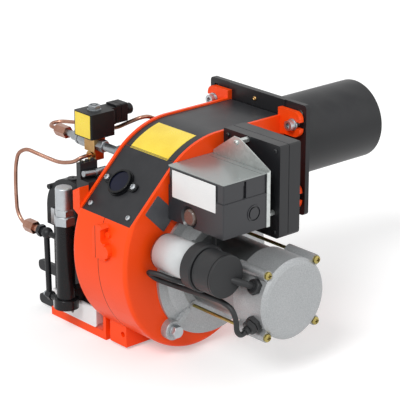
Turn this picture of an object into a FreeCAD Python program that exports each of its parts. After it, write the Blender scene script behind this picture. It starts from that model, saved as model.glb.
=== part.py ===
import FreeCAD, Part
import math
import os

V = FreeCAD.Vector

# Frame in millimetres: the origin is the centre of the boiler side of the flange,
# +Y is the way the flame leaves, +X is towards the fan motor and +Z is up.

# Mounting flange and the gasket in front of the boiler plate
FLANGE_WIDTH = 213.0
FLANGE_HEIGHT = 173.0
FLANGE_THICK = 8.0
FLANGE_CORNER = 6.0
FLANGE_PAD = 1.5
GASKET_THICK = 2.5
BOLT_EDGE = 13.5
BOLT_SPACING_X = FLANGE_WIDTH - 2 * BOLT_EDGE
BOLT_SPACING_Z = FLANGE_HEIGHT - 2 * BOLT_EDGE
GASKET_INSET = 4.0
BOLT_HOLE = 11.0
STUD_DIAMETER = 10.0

# Blast tube and the burner head inside it
TUBE_OUTER = 125.0
TUBE_WALL = 2.5
TUBE_REACH = 200.0
TUBE_RIM = 127.6
TUBE_RIM_THICK = 4.0
HEAD_DIAMETER = 104.0
HEAD_PLACE = 156.0
HEAD_THICK = 2.0
HEAD_SLOTS = 12
LINE_DIAMETER = 14.0
LINE_REAR = -99.0
LINE_STUB = 10.0
BRANCH_DIAMETER = 10.0
NOZZLE_FLATS = 16.0
ELECTRODE_DIAMETER = 9.0
ELECTRODE_OFFSET = 19.0

# Air housing: a duct towards the flange and a volute round the fan
DUCT_HALF = 61.0
DUCT_TOP = 64.0
DUCT_FLOOR = -67.0
HOUSING_WALL = 5.0
SIDE_WALL = 5.0
SEAM_GAP = 0.4
LUG_THICK = 8.5
LUG_OUT = FLANGE_WIDTH / 2 - 4.0
LUG_HIGH = FLANGE_HEIGHT / 2 - 10.5
LUG_LOW = LUG_HIGH - 39.0
LUG_CORNER = 12.0
STUD_X = LUG_OUT - 14.5
STUD_Z = LUG_HIGH - 20.0
SLOT_WIDTH = 10.6
FAN_AXIS_Y = -159.0
FAN_AXIS_Z = -139.5
VOLUTE_MIN = 106.0
VOLUTE_START = 64.0
VOLUTE_END = 212.0
VOLUTE_GROWTH = 0.482
SLOPE_ANGLE = 44.5
SHOULDER_RADIUS = 140.0
EDGE_ROUND = 6.0
EDGE_ROUND_END = -83.75
STRIP_CENTRE = 7.5
STRIP_WIDTH = 29.0
STRIP_FRONT = -328.0
STRIP_TOP = -65.0
STRIP_BOTTOM = -102.0
EAR_REACH = 14.0
EAR_TOP = -15.0
EAR_BOTTOM = -60.0
EAR_FRONT = -309.0
MOTOR_OPENING = 176.0
INTAKE_OPENING = 136.0

# Sheet covers set between the housing's rims
RIM_PROUD = 2.5
COVER_THICK = 2.0
COVER_GAP = 0.5
LEDGE_WIDTH = 10.0
LEDGE_THICK = 4.0
COVER_SPLIT = 117.0
COVER_FOOT = 100.0
GLASS_DIAMETER = 34.0
GLASS_X = -14.0
GLASS_DOWN = 41.0
GLASS_BOLTS = 60.0
FOOT_SCREW_RISE = 14.0
FOOT_SCREW_LEFT = 15.0
FOOT_SCREW_RIGHT = 21.0

# Fan wheel on the motor shaft
FAN_DIAMETER = 160.0
FAN_WIDTH = 80.0
FAN_BACK_X = 46.0
BLADE_COUNT = 32
BLADE_THICK = 1.2
BLADE_DEPTH = 14.0
BLADE_CURVE = 13.0
BLADE_SWEEP = 60.0
SHAFT_DIAMETER = 15.0
RUNNING_FIT = 0.04

# Fan motor: flange disc, stator tube and end shield held by four tie rods
MOTOR_FLANGE_DIAMETER = 210.0
MOTOR_FLANGE_THICK = 5.0
STATOR_DIAMETER = 115.0
STATOR_START = 74.0
STATOR_END = 178.0
SHIELD_DIAMETER = 122.0
MOTOR_END = 240.0
TIE_CIRCLE = 134.0
TIE_LUG = 15.0
TIE_DIAMETER = 5.0
TIE_HEAD = 12.0
LUG_CIRCLE = 228.0
LUG_ANGLES = (224, 316)
LUG_BOSS = 31.0
LUG_RISE = 13.0
BOLT_DIAMETER = 12.0
BOLT_HEAD = 17.0
BOSS_DIAMETER = 26.0
BOSS_DEPTH = 22.0
BEARING_OUTER = 35.0
BEARING_WIDTH = 11.0
ROTOR_DIAMETER = 60.0
AIR_GAP = 0.6
GLAND_X = 218.0
UPPER_GLAND_ANGLE = 153.5
LOWER_GLAND_ANGLE = 206.0
GLAND_FLATS = 21.0

# Run capacitor with its rubber boot
CAPACITOR_Y = -258.0
CAPACITOR_Z = -89.0
CAN_DIAMETER = 54.0
CAN_START = 71.0
COLLAR_START = 144.0
NECK_START = 167.0
BOOT_END = 206.0
COLLAR_DIAMETER = 70.0
NECK_DIAMETER = 63.0
CAPACITOR_LEAD = 10.0

# Ignition transformer, bracket and control box beside the duct
BOX_RIGHT = 181.0
TRANSFORMER_FRONT = -134.0
TRANSFORMER_BACK = -94.0
TRANSFORMER_TOP = 69.0
TRANSFORMER_BOTTOM = -72.0
CROWN_BOW = 700.0
CROWN_RISE = 10.0
BRACKET_FRONT = -155.5
BRACKET_THICK = 1.5
GABLE_X = 112.0
GABLE_TOP = 71.0
CONTROL_FRONT = -242.0
CONTROL_TOP = 36.0
CONTROL_BOTTOM = -46.0
CONTROL_SPLIT = 6.0
LID_THICK = 1.5
LATCH_Y = -200.0
BUTTON_X = 108.0
BUTTON_Z = -32.0
BUTTON_DIAMETER = 25.0
BUTTON_BEVEL = 4.5
KNOCKOUT_Y = -184.0
KNOCKOUT_Z = -19.0
KNOCKOUT_DIAMETER = 25.0
BUTTON_TRAVEL = 3.0

# Air box with the damper and the oil pump on the intake side
AIR_BOX_LEFT = -121.0
AIR_BOX_FRONT = -237.0
AIR_BOX_BACK = -79.0
AIR_BOX_TOP = -58.0
AIR_BOX_BOTTOM = -222.0
AIR_BOX_WALL = 3.0
DAMPER_TOP = -150.0
DAMPER_SHAFT = 6.0
PUMP_LEFT = -166.0
PUMP_HALF = 33.0
PUMP_SHAFT = 8.0
GEAR_TEETH = 12
GEAR_MODULE = 2.0
GEAR_WIDTH = 12.0

# Oil heater, its stand and the foot
HEATER_X = -119.5
HEATER_Y = -292.0
HEATER_DIAMETER = 28.5
HEATER_BASE = 38.0
BASE_TOP = -212.0
SLEEVE_DIAMETER = 26.5
SLEEVE_BOTTOM = -67.5
SLEEVE_FLATS = 26.0
LOCK_TOP = -79.0
LOCK_FLATS = 29.0
LOCK_BOTTOM = -93.0
CROWN_X = -133.0
CROWN_Z = -86.5
CROWN_RADIUS = 55.0
BLOCK_FRONT = -273.0
BLOCK_BACK = -255.0
FOOT_FRONT = -271.0
FOOT_LEFT = -186.0
FOOT_TOP = -254.0
FOOT_BOTTOM = -267.0
FOOT_DEPTH = 62.0
RAIL_RIGHT = -51.0
PAD_LEFT = -40.0
PAD_RIGHT = -2.0
STAND_LEFT = -187.0
STAND_RIGHT = -105.0
STAND_FRONT = -262.0
STAND_BACK = -256.0
STAND_TOP = -115.0
SHELF_TOP = -222.0
CAP_TOP = -34.0
TERMINAL_REACH = 29.0
TERMINAL_LEFT = -DUCT_HALF - TERMINAL_REACH
TERMINAL_FRONT = -290.0
TERMINAL_TOP = 11.0
UNION_X = -161.0
UNION_Y = -294.0
UNION_Z = -119.0
DRAIN_TIP = -166.0
DRAIN_Z = -220.0

# Solenoid valve stack
VALVE_X = -126.5
VALVE_Y = -226.0
PORT_Z = 19.0
COIL_BOTTOM = 32.0
COIL_TOP = 71.0
COIL_WIDTH = 43.0
COIL_DEPTH = 45.0
COIL_NECK = 9.0
PLUG_BOTTOM = 45.0
PLUG_WIDTH = 25.0
BODY_WIDTH = 24.0
BODY_DEPTH = 21.0
BODY_BOTTOM = 8.0
GUIDE_DIAMETER = 13.0
PLUNGER_DIAMETER = 9.0
CONNECTOR_DEPTH = 22.0
PLUNGER_TRAVEL = 3.0
PIPE_DIAMETER = 6.0
LEAD_DIAMETER = 8.0
FLARE_HALF = 14.0
COCK_Y = -252.0
COCK_Z = -5.0

# Routes of the bent pipes and of the motor lead
FEED_START = UNION_X - 44.0
INLET_X = VALVE_X - 1.5
INLET_Z = BODY_BOTTOM - 7.0
OUTLET_START = VALVE_X - 79.5
LINE_INLET_X = -DUCT_HALF - LINE_STUB - 5.0
FEED_ROUTE = [
    (FEED_START, UNION_Y, UNION_Z), (-224, UNION_Y, UNION_Z), (-237, UNION_Y, -104), (-239, UNION_Y, -66),
    (-237, -294, -30), (-231, -293, -8), (-216, -288, 1), (-190, -278, -6),
    (-162, -266, -13), (-139, -258, -8), (INLET_X, VALVE_Y - 24, INLET_Z), (INLET_X, VALVE_Y - 4, INLET_Z),
]
NOZZLE_ROUTE = [
    (OUTLET_START, VALVE_Y, PORT_Z), (-237, VALVE_Y, PORT_Z), (-243, -217, 21), (-235, -206, 23),
    (-212, -197, 25), (-172, -193, 29), (-124, -188.5, 34), (-100, -183, 48),
    (LINE_INLET_X - 4, -176, 59), (LINE_INLET_X, -164, 60), (LINE_INLET_X, -136, 46),
    (LINE_INLET_X, LINE_REAR - 4, 28), (LINE_INLET_X, LINE_REAR, 16), (LINE_INLET_X, LINE_REAR, -4),
]
LEAD_ROUTE = [
    (218, -223.7, -171.1), (218, -240.5, -179.3), (219, -250, -171), (216, -249, -152),
    (208, -250, -138), (190, -253, -132), (158, -256, -132), (126, -256, -135),
    (98, -258, -136), (82, -265, -133), (72, -274, -128), (67.5, -282, -120),
    (72, -288, -114), (88, -283, -113.5), (104, -273.5, -119), (118, -256, -125),
    (128, -237, -127), (132, -221, -115), (132, -216, -95), (132, -215, -70),
    (132, -215, -46),
]


def box(x0, x1, y0, y1, z0, z1):
    return Part.makeBox(x1 - x0, y1 - y0, z1 - z0, V(x0, y0, z0))


def rod(at, way, diameter, length):
    return Part.makeCylinder(diameter / 2, length, V(*at), V(*way))


def ring(at, way, outer, inner, length):
    return rod(at, way, outer, length).cut(rod(at, way, inner, length))


def hexagon(at, way, flats, length):
    corner = flats / math.sqrt(3)
    points = [
        V(corner * math.cos(math.radians(60 * k + 30)), corner * math.sin(math.radians(60 * k + 30)), 0)
        for k in range(6)
    ]
    prism = Part.Face(Part.makePolygon(points + points[:1])).extrude(V(0, 0, length))
    prism.Placement = FreeCAD.Placement(V(*at), FreeCAD.Rotation(V(0, 0, 1), V(*way)))
    return prism


def nut(at, way, flats, length):
    """A hexagon with the corners of its far end turned off."""
    corner = flats / math.sqrt(3)
    bevel = corner - 0.47 * flats
    blank = rod(at, way, 2 * corner, length)
    end = V(*at) + V(*way) * length
    blank = blank.makeChamfer(bevel, [e for e in blank.Edges if (e.CenterOfMass - end).Length < 0.01])
    return blank.common(hexagon(at, way, flats, length))


def slab_x(outline, x0, x1):
    """A prism along X from corners given as (y, z)."""
    points = [V(x0, y, z) for y, z in outline]
    return Part.Face(Part.makePolygon(points + points[:1])).extrude(V(x1 - x0, 0, 0))


def slab_y(outline, y0, y1):
    """A prism along Y from corners given as (x, z)."""
    points = [V(x, y0, z) for x, z in outline]
    return Part.Face(Part.makePolygon(points + points[:1])).extrude(V(0, y1 - y0, 0))


def revolve_x(outline, y, z):
    """A solid turned about the X line through (y, z) from corners given as (x, radius)."""
    points = [V(x, y, z + radius) for x, radius in outline]
    face = Part.Face(Part.makePolygon(points + points[:1]))
    return face.revolve(V(0, y, z), V(1, 0, 0), 360)


def rounded(shape, radius, wanted):
    """The shape with the edges that wanted() picks rounded."""
    edges = [edge for edge in shape.Edges if wanted(edge)]
    return shape.makeFillet(radius, edges)


def runs_along(edge, way):
    if len(edge.Vertexes) < 2:
        return False
    line = edge.Vertexes[1].Point - edge.Vertexes[0].Point
    return line.Length > 0.01 and abs(line.normalize().dot(V(*way))) > 0.999


def fuse(shapes):
    return shapes[0].multiFuse(shapes[1:]).removeSplitter()


def polar(radius, degrees, y=FAN_AXIS_Y, z=FAN_AXIS_Z):
    """The (y, z) at an angle round an X axis, measured from +Y towards +Z."""
    turn = math.radians(degrees)
    return y + radius * math.cos(turn), z + radius * math.sin(turn)


def bent_tube(route, diameter):
    """A tube of straight runs joined by tangent arcs, each as large as its runs allow."""
    points = [V(*p) for p in route]
    edges = []
    radii = []
    start = points[0]
    for before, corner, after in zip(points, points[1:], points[2:]):
        back = before - corner
        ahead = after - corner
        turn = math.pi - back.getAngle(ahead)
        reach = 0.45 * min(back.Length, ahead.Length)
        radii.append(reach / math.tan(turn / 2))
        into = corner + V(back).normalize() * reach
        out = corner + V(ahead).normalize() * reach
        middle = V(back).normalize() + V(ahead).normalize()
        bow = radii[-1] * (1 / math.cos(turn / 2) - 1)
        edges.append(Part.LineSegment(start, into).toShape())
        edges.append(Part.Arc(into, corner + middle.normalize() * bow, out).toShape())
        start = out
    edges.append(Part.LineSegment(start, points[-1]).toShape())
    path = Part.Wire(edges)
    section = Part.Wire(Part.Circle(points[0], points[1] - points[0], diameter / 2).toShape())
    tube = path.makePipeShell([section], True, False)
    expected = math.pi * diameter ** 2 / 4 * path.Length
    print("tube", diameter, "length", round(path.Length, 1), "volume ratio", round(tube.Volume / expected, 4),
          "radii", [round(r, 1) for r in radii])
    return tube


def flange_outline(y0, y1, inset):
    half_x = FLANGE_WIDTH / 2 - inset
    half_z = FLANGE_HEIGHT / 2 - inset
    plate = box(-half_x, half_x, y0, y1, -half_z, half_z)
    plate = rounded(plate, FLANGE_CORNER, lambda edge: runs_along(edge, (0, 1, 0)))
    holes = [rod((0, y0, 0), (0, 1, 0), TUBE_OUTER + 2 * COVER_GAP, y1 - y0)]
    for side in (-1, 1):
        for level in (-1, 1):
            at = (side * BOLT_SPACING_X / 2, y0, level * BOLT_SPACING_Z / 2)
            holes.append(rod(at, (0, 1, 0), BOLT_HOLE, y1 - y0))
    return plate.cut(holes)


FLANGE_BACK = -GASKET_THICK
FLANGE_FRONT = FLANGE_BACK - FLANGE_THICK
HOUSING_BACK = FLANGE_FRONT - FLANGE_PAD


def make_flange_gasket():
    return flange_outline(FLANGE_BACK, 0, GASKET_INSET)


def make_mounting_flange():
    plate = flange_outline(FLANGE_FRONT, FLANGE_BACK, 0)
    half_z = FLANGE_HEIGHT / 2
    pad = box(-DUCT_HALF, DUCT_HALF, HOUSING_BACK, FLANGE_FRONT, -half_z, half_z)
    pad = pad.cut(rod((0, HOUSING_BACK, 0), (0, 1, 0), TUBE_RIM + 2 * COVER_GAP, FLANGE_PAD))
    recess = rod((0, FLANGE_FRONT, 0), (0, 1, 0), TUBE_RIM + 2 * COVER_GAP, TUBE_RIM_THICK - FLANGE_PAD)
    return fuse([plate, pad]).cut(recess)


def make_blast_tube():
    inner = TUBE_OUTER - 2 * TUBE_WALL
    rim_front = HOUSING_BACK
    barrel = ring((0, rim_front, 0), (0, 1, 0), TUBE_OUTER, inner, TUBE_REACH - rim_front)
    rim = ring((0, rim_front, 0), (0, 1, 0), TUBE_RIM, inner, TUBE_RIM_THICK)
    return fuse([barrel, rim])


def housing_side():
    """The closed side outline of the air housing in the YZ plane at x = 0."""
    def volute(angle):
        radius = VOLUTE_MIN + VOLUTE_GROWTH * max(0.0, angle - VOLUTE_START)
        return V(0, *polar(radius, -angle))

    top = V(0, 0, DUCT_TOP)
    corner = volute(VOLUTE_END)
    slope = V(0, math.cos(math.radians(SLOPE_ANGLE)), math.sin(math.radians(SLOPE_ANGLE)))
    meet = corner + slope * ((DUCT_TOP - corner.z) / slope.z)
    reach = SHOULDER_RADIUS * math.tan(math.radians(SLOPE_ANGLE / 2))
    shoulder_top = V(0, meet.y + reach, DUCT_TOP)
    shoulder_low = meet - slope * reach
    centre = V(0, shoulder_top.y, DUCT_TOP - SHOULDER_RADIUS)
    half = math.radians(SLOPE_ANGLE / 2)
    shoulder_mid = centre + V(0, -math.sin(half), math.cos(half)) * SHOULDER_RADIUS
    drop = DUCT_FLOOR - FAN_AXIS_Z
    tongue_angle = math.degrees(math.asin(drop / VOLUTE_MIN))
    tongue = V(0, *polar(VOLUTE_MIN, tongue_angle))
    edges = [
        Part.LineSegment(V(0, HOUSING_BACK, DUCT_FLOOR), V(0, HOUSING_BACK, DUCT_TOP)),
        Part.LineSegment(V(0, HOUSING_BACK, DUCT_TOP), shoulder_top),
        Part.Arc(shoulder_top, shoulder_mid, shoulder_low),
        Part.LineSegment(shoulder_low, corner),
    ]
    step = (VOLUTE_END - VOLUTE_START) / 3
    for k in (3, 2, 1):
        high = VOLUTE_START + k * step
        edges.append(Part.Arc(volute(high), volute(high - step / 2), volute(high - step)))
    edges.append(Part.Arc(volute(VOLUTE_START), V(0, *polar(VOLUTE_MIN, -10)), tongue))
    edges.append(Part.LineSegment(tongue, V(0, HOUSING_BACK, DUCT_FLOOR)))
    return Part.Wire([edge.toShape() for edge in edges]), corner, shoulder_low, slope


SIDE, SLOPE_FOOT, SHOULDER_LOW, SLOPE = housing_side()
ACROSS = V(0, -SLOPE.z, SLOPE.y)


def inset_prism(inset, half_width):
    """The side outline, drawn in by inset and pulled out to both sides."""
    wire = SIDE.makeOffset2D(-inset) if inset else SIDE
    face = Part.Face(wire)
    face.translate(V(-half_width, 0, 0))
    return face.extrude(V(2 * half_width, 0, 0))


def cover_zone(half_width, back, extra):
    """Space over the top and the slope where the covers lie."""
    foot_out = SLOPE_FOOT + ACROSS * 30 + SLOPE * extra
    foot_in = SLOPE_FOOT - ACROSS * 20 + SLOPE * extra
    inner = DUCT_TOP - 20
    turn = SHOULDER_LOW - ACROSS * 20
    outline = [
        (back, DUCT_TOP + 40), (back, inner), (turn.y + 50, inner), (turn.y, turn.z),
        (foot_in.y, foot_in.z), (foot_out.y, foot_out.z), (foot_out.y, DUCT_TOP + 40),
    ]
    return slab_x(outline, -half_width, half_width)


def slope_point(down, lift=0.0, x=0.0):
    """A point on the slope, measured down from the shoulder's end, and lifted off the rim line."""
    return V(x, 0, 0) + SHOULDER_LOW - SLOPE * down + ACROSS * lift


def make_housing():
    """Both halves of the cast air housing, with a shallow gap on the seam."""
    body = inset_prism(0, DUCT_HALF)
    low = SLOPE_FOOT.z - 4
    body = rounded(body, EDGE_ROUND, lambda e: (
        abs(abs(e.CenterOfMass.x) - DUCT_HALF) < 0.01 and e.CenterOfMass.z < low
        and e.CenterOfMass.y < EDGE_ROUND_END and not runs_along(e, (0, 1, 0))))
    shell = body.cut(inset_prism(HOUSING_WALL, DUCT_HALF - SIDE_WALL))
    seat = RIM_PROUD + COVER_THICK
    back = HOUSING_BACK - LUG_THICK
    frame_in = DUCT_HALF - SIDE_WALL
    ledge = inset_prism(seat, frame_in).cut(inset_prism(seat + LEDGE_THICK, frame_in))
    ledge = ledge.common(cover_zone(frame_in, back, 0))
    opening = cover_zone(frame_in - LEDGE_WIDTH, back - LEDGE_WIDTH, LEDGE_WIDTH)
    frame = ledge.cut(opening)
    above = inset_prism(-5, frame_in)
    skin = above.cut(inset_prism(seat, frame_in)).common(cover_zone(frame_in, HOUSING_BACK + 1, 0))
    depth = HOUSING_WALL + LEDGE_THICK + 12
    hole = above.common(opening).cut(inset_prism(depth, frame_in - LEDGE_WIDTH))
    shell = fuse([shell.cut(skin).cut(hole), frame])
    end = box(-DUCT_HALF, DUCT_HALF, back, HOUSING_BACK, DUCT_FLOOR, DUCT_TOP).cut(skin)
    lugs = []
    slots = []
    for side in (-1, 1):
        for level in (-1, 1):
            inner = side * (DUCT_HALF - SIDE_WALL)
            outer = side * LUG_OUT
            z0, z1 = sorted((level * LUG_LOW, level * LUG_HIGH))
            lug = box(min(inner, outer), max(inner, outer), back, HOUSING_BACK, z0, z1)
            lug = rounded(lug, LUG_CORNER, lambda e: (
                runs_along(e, (0, 1, 0)) and abs(e.CenterOfMass.x) > LUG_OUT - 1))
            lugs.append(lug)
            x0, x1 = sorted((side * STUD_X, side * (LUG_OUT + 2)))
            slots.append(box(x0, x1, back, HOUSING_BACK, level * STUD_Z - SLOT_WIDTH / 2,
                             level * STUD_Z + SLOT_WIDTH / 2))
            slots.append(rod((side * STUD_X, back, level * STUD_Z), (0, 1, 0), SLOT_WIDTH, LUG_THICK))
    throat = rod((0, back, 0), (0, 1, 0), TUBE_OUTER - 2 * TUBE_WALL - 6, LUG_THICK)
    shell = fuse([shell, end] + lugs).cut([throat] + slots)
    bosses = []
    for y, z in motor_bolt_places():
        bosses.append(rod((DUCT_HALF - BOSS_DEPTH, y, z), (1, 0, 0), BOSS_DIAMETER, BOSS_DEPTH))
    shell = fuse([shell] + bosses)
    openings = [
        rod((0, FAN_AXIS_Y, FAN_AXIS_Z), (1, 0, 0), MOTOR_OPENING, DUCT_HALF + 1),
        rod((-DUCT_HALF - 1, FAN_AXIS_Y, FAN_AXIS_Z), (1, 0, 0), INTAKE_OPENING, DUCT_HALF),
        rod((-DUCT_HALF - 1, LINE_REAR, 0), (1, 0, 0), BRANCH_DIAMETER + 0.4, 12),
    ]
    shell = shell.cut(openings)
    return shell


def front_boss():
    """Raised strip on the volute's front with an arched end, the recessed closing screw and a knob."""
    left = STRIP_CENTRE - STRIP_WIDTH / 2
    right = STRIP_CENTRE + STRIP_WIDTH / 2
    back = STRIP_FRONT + 24
    strip = box(left, right, STRIP_FRONT, back, STRIP_BOTTOM, STRIP_TOP)
    arch = rod((STRIP_CENTRE, STRIP_FRONT, STRIP_TOP), (0, 1, 0), STRIP_WIDTH, 24)
    knob = rod((right, STRIP_FRONT - 2, STRIP_BOTTOM + 14), (0, 1, 0), 19, 26)
    slot = right - 4
    recess = [box(slot - 6, right + 20, STRIP_FRONT - 3, STRIP_FRONT + 13, STRIP_TOP - 6, STRIP_TOP + 5)]
    recess += [rod((slot, STRIP_FRONT - 3, z), (0, 1, 0), 12, 16) for z in (STRIP_TOP - 6, STRIP_TOP + 5)]
    screw = rod((slot, STRIP_FRONT + 8, STRIP_TOP), (0, 1, 0), 9, 8)
    return fuse([strip, arch, knob]).cut(fuse(recess)).fuse(screw)


def foot():
    """Rail under the volute with its two webs."""
    back = FOOT_FRONT + FOOT_DEPTH
    rail = box(FOOT_LEFT, RAIL_RIGHT, FOOT_FRONT, back, FOOT_BOTTOM, FOOT_TOP)
    rise = [(back, FOOT_TOP + 8), (FOOT_FRONT + 14, FOOT_TOP + 38), (FOOT_FRONT, FOOT_TOP + 30)]
    outline = [(FOOT_FRONT, FOOT_BOTTOM), (back, FOOT_BOTTOM)] + rise
    post = slab_x(outline, RAIL_RIGHT - 6, RAIL_RIGHT)
    pad = slab_x([(FOOT_FRONT, FOOT_BOTTOM + 4), (back, FOOT_BOTTOM + 4)] + rise, PAD_LEFT, PAD_RIGHT)
    pad = pad.cut(rod((PAD_RIGHT - 8, FOOT_FRONT - 1, FOOT_TOP + 10), (0, 1, 0), 9, 9))
    bridge = box(RAIL_RIGHT, PAD_LEFT, FOOT_FRONT + 8, back, FOOT_BOTTOM + 6, FOOT_TOP + 4)
    return [rail, post, pad, bridge]


def wall_ear():
    """Cast tab beside the slope's foot on the intake side."""
    wall = -DUCT_HALF
    out = wall - EAR_REACH
    corners = [(wall + 2, EAR_TOP), (wall, EAR_TOP - 1), (out, EAR_TOP - 9), (out, EAR_BOTTOM + 8),
               (wall, EAR_BOTTOM), (wall + 2, EAR_BOTTOM)]
    return slab_y(corners, EAR_FRONT, EAR_FRONT + 17)


def make_housing_halves():
    shell = make_housing()
    deep = 2 * VOLUTE_END
    keep_left = box(-deep, -SEAM_GAP / 2, -deep, 0, -deep, deep)
    keep_right = box(SEAM_GAP / 2, deep, -deep, 0, -deep, deep)
    left = shell.common(keep_left)
    right = shell.common(keep_right)
    hollow = inset_prism(HOUSING_WALL, DUCT_HALF - SIDE_WALL)
    boss = front_boss().cut(hollow)
    inner = inset_prism(HOUSING_WALL, -PAD_LEFT)
    outside = [piece.cut(inner) for piece in foot() + [wall_ear()]]
    left = fuse([left, boss.common(keep_left)] + outside)
    right = fuse([right, boss.common(keep_right)])
    return left, right


def cover_sheet(start, end_extra, lift):
    """Sheet between the rims: the band of the side outline from one cut line to another."""
    half = DUCT_HALF - SIDE_WALL - COVER_GAP
    outer = inset_prism(RIM_PROUD - lift, half)
    band = outer.cut(inset_prism(RIM_PROUD - lift + COVER_THICK, half))
    return band.common(cover_zone(half, start, end_extra))


def split_zone():
    """Everything up the slope from the line where the two covers meet."""
    line = SLOPE_FOOT + SLOPE * COVER_SPLIT
    low = line - ACROSS * 30
    high = line + ACROSS * 60
    return slab_x([(low.y, low.z), (high.y, high.z), (high.y, 200), (10, 200), (10, low.z)], -70, 70)


def make_covers():
    sheet = cover_sheet(HOUSING_BACK - COVER_GAP, COVER_GAP, 0)
    upper = sheet.common(split_zone())
    lower = sheet.cut(split_zone())
    centre = slope_point(GLASS_DOWN, 0, GLASS_X)
    hole = rod((centre - ACROSS * 10), tuple(ACROSS), GLASS_DIAMETER, 30)
    lower = lower.cut(hole)
    joint = SLOPE_FOOT + SLOPE * (COVER_SPLIT - 0.4)
    gap = slab_x([
        tuple((joint + ACROSS * 20))[1:], tuple((joint - ACROSS * 20))[1:],
        tuple((joint - ACROSS * 20 + SLOPE * 0.8))[1:], tuple((joint + ACROSS * 20 + SLOPE * 0.8))[1:],
    ], -70, 70)
    return upper.cut(gap), lower.cut(gap)


def on_slope(shape):
    """A shape drawn with +Z as the outward way, turned to stand on the slope."""
    turned = shape.copy()
    turned.Placement = FreeCAD.Placement(V(0, 0, 0), FreeCAD.Rotation(V(1, 0, 0), math.degrees(
        math.atan2(-ACROSS.y, ACROSS.z)))).multiply(turned.Placement)
    return turned


def moved(shape, x, y, z):
    copy = shape.copy()
    copy.translate(V(x, y, z))
    return copy


def set_on_cover(shape, down, x):
    """Seats a shape drawn round the origin on the sloped cover's outer face."""
    place = slope_point(down, -RIM_PROUD, x)
    return moved(on_slope(shape), place.x, place.y, place.z)


def make_sight_glass_ring():
    plate = rod((0, 0, 0), (0, 0, 1), GLASS_DIAMETER + 10, 3)
    ears = []
    holes = []
    for side in (-1, 1):
        ears.append(rod((side * GLASS_BOLTS / 2, 0, 0), (0, 0, 1), 14, 3))
        holes.append(rod((side * GLASS_BOLTS / 2, 0, 0), (0, 0, 1), 4.4, 3))
    web = box(-GLASS_BOLTS / 2, GLASS_BOLTS / 2, -7, 7, 0, 3)
    collar = rod((0, 0, 0), (0, 0, 1), GLASS_DIAMETER + 6, 7)
    body = fuse([plate, web, collar] + ears)
    body = rounded(body, 1, lambda e: abs(e.CenterOfMass.z - 7) < 0.01)
    bore = fuse([rod((0, 0, -1), (0, 0, 1), GLASS_DIAMETER - 5, 9),
                 rod((0, 0, 2), (0, 0, 1), GLASS_DIAMETER, 5)])
    return set_on_cover(body.cut(fuse([bore] + holes)), GLASS_DOWN, GLASS_X)


def make_sight_glass():
    return set_on_cover(rod((0, 0, 2), (0, 0, 1), GLASS_DIAMETER - 0.2, 3), GLASS_DOWN, GLASS_X)


def pan_screw(diameter, height):
    """A bevelled pan head with a cross recess, on the origin and pointing up."""
    bevel = height * 0.4
    radius = diameter / 2
    outline = [(0, 0), (height, 0), (height, radius - bevel), (height - bevel, radius), (0, radius)]
    screw = revolve_x(outline, 0, 0)
    screw.rotate(V(0, 0, 0), V(0, 1, 0), -90)
    reach = diameter * 0.3
    half = diameter * 0.075
    floor = height * 0.45
    cross = [box(-reach, reach, -half, half, floor, height), box(-half, half, -reach, reach, floor, height)]
    return screw.cut(cross)


def make_glass_screws():
    screw = pan_screw(9, 4)
    return [set_on_cover(moved(screw, 0, 0, 3), GLASS_DOWN, GLASS_X + side * GLASS_BOLTS / 2)
            for side in (-1, 1)]


def make_cover_screws():
    screw = pan_screw(8, 3)
    places = (FOOT_SCREW_LEFT - DUCT_HALF, DUCT_HALF - FOOT_SCREW_RIGHT)
    return [set_on_cover(screw, COVER_FOOT - FOOT_SCREW_RISE, x) for x in places] + make_glass_screws()


def make_flange_studs():
    """Stud, washer and socket nut in each slotted lug."""
    pieces = []
    face = HOUSING_BACK - LUG_THICK
    for side in (-1, 1):
        for level in (-1, 1):
            x, z = side * STUD_X, level * STUD_Z
            shank = rod((x, FLANGE_FRONT, z), (0, -1, 0), STUD_DIAMETER, LUG_THICK + FLANGE_PAD + 9)
            washer = ring((x, face, z), (0, -1, 0), 19, STUD_DIAMETER, 1.6)
            nut = rod((x, face - 1.6, z), (0, -1, 0), 15.5, 9)
            socket = hexagon((x, face - 6, z), (0, -1, 0), 8, 6)
            pieces.append(fuse([shank, washer, nut]).cut(socket))
    return pieces


def make_nozzle_line():
    line = rod((0, LINE_REAR, 0), (0, 1, 0), LINE_DIAMETER, HEAD_PLACE - 30 - LINE_REAR)
    branch = rod((-DUCT_HALF - LINE_STUB, LINE_REAR, 0), (1, 0, 0), 10, DUCT_HALF + LINE_STUB)
    elbow = Part.makeSphere(9, V(0, LINE_REAR, 0))
    return [fuse([line, branch, elbow])] + make_line_union() + make_nozzle()


def make_line_union():
    """Bulkhead nuts that hold the nozzle line in the duct's left wall."""
    wall = -DUCT_HALF
    outside = hexagon((wall, LINE_REAR, 0), (-1, 0, 0), 19, 6)
    outside = outside.cut(rod((wall, LINE_REAR, 0), (-1, 0, 0), 10, 9))
    inside = hexagon((wall + SIDE_WALL, LINE_REAR, 0), (1, 0, 0), 19, 6)
    inside = inside.cut(rod((wall, LINE_REAR, 0), (1, 0, 0), 10, 20))
    tip = -DUCT_HALF - LINE_STUB
    cap = hexagon((tip - 12, LINE_REAR, 0), (1, 0, 0), 14, 15)
    inlet = rod((tip - 5, LINE_REAR, -4), (0, 0, 1), PIPE_DIAMETER, 20)
    cap = cap.cut([rod((tip, LINE_REAR, 0), (1, 0, 0), 10, 10), inlet])
    return [outside, inside, cap]


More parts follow.
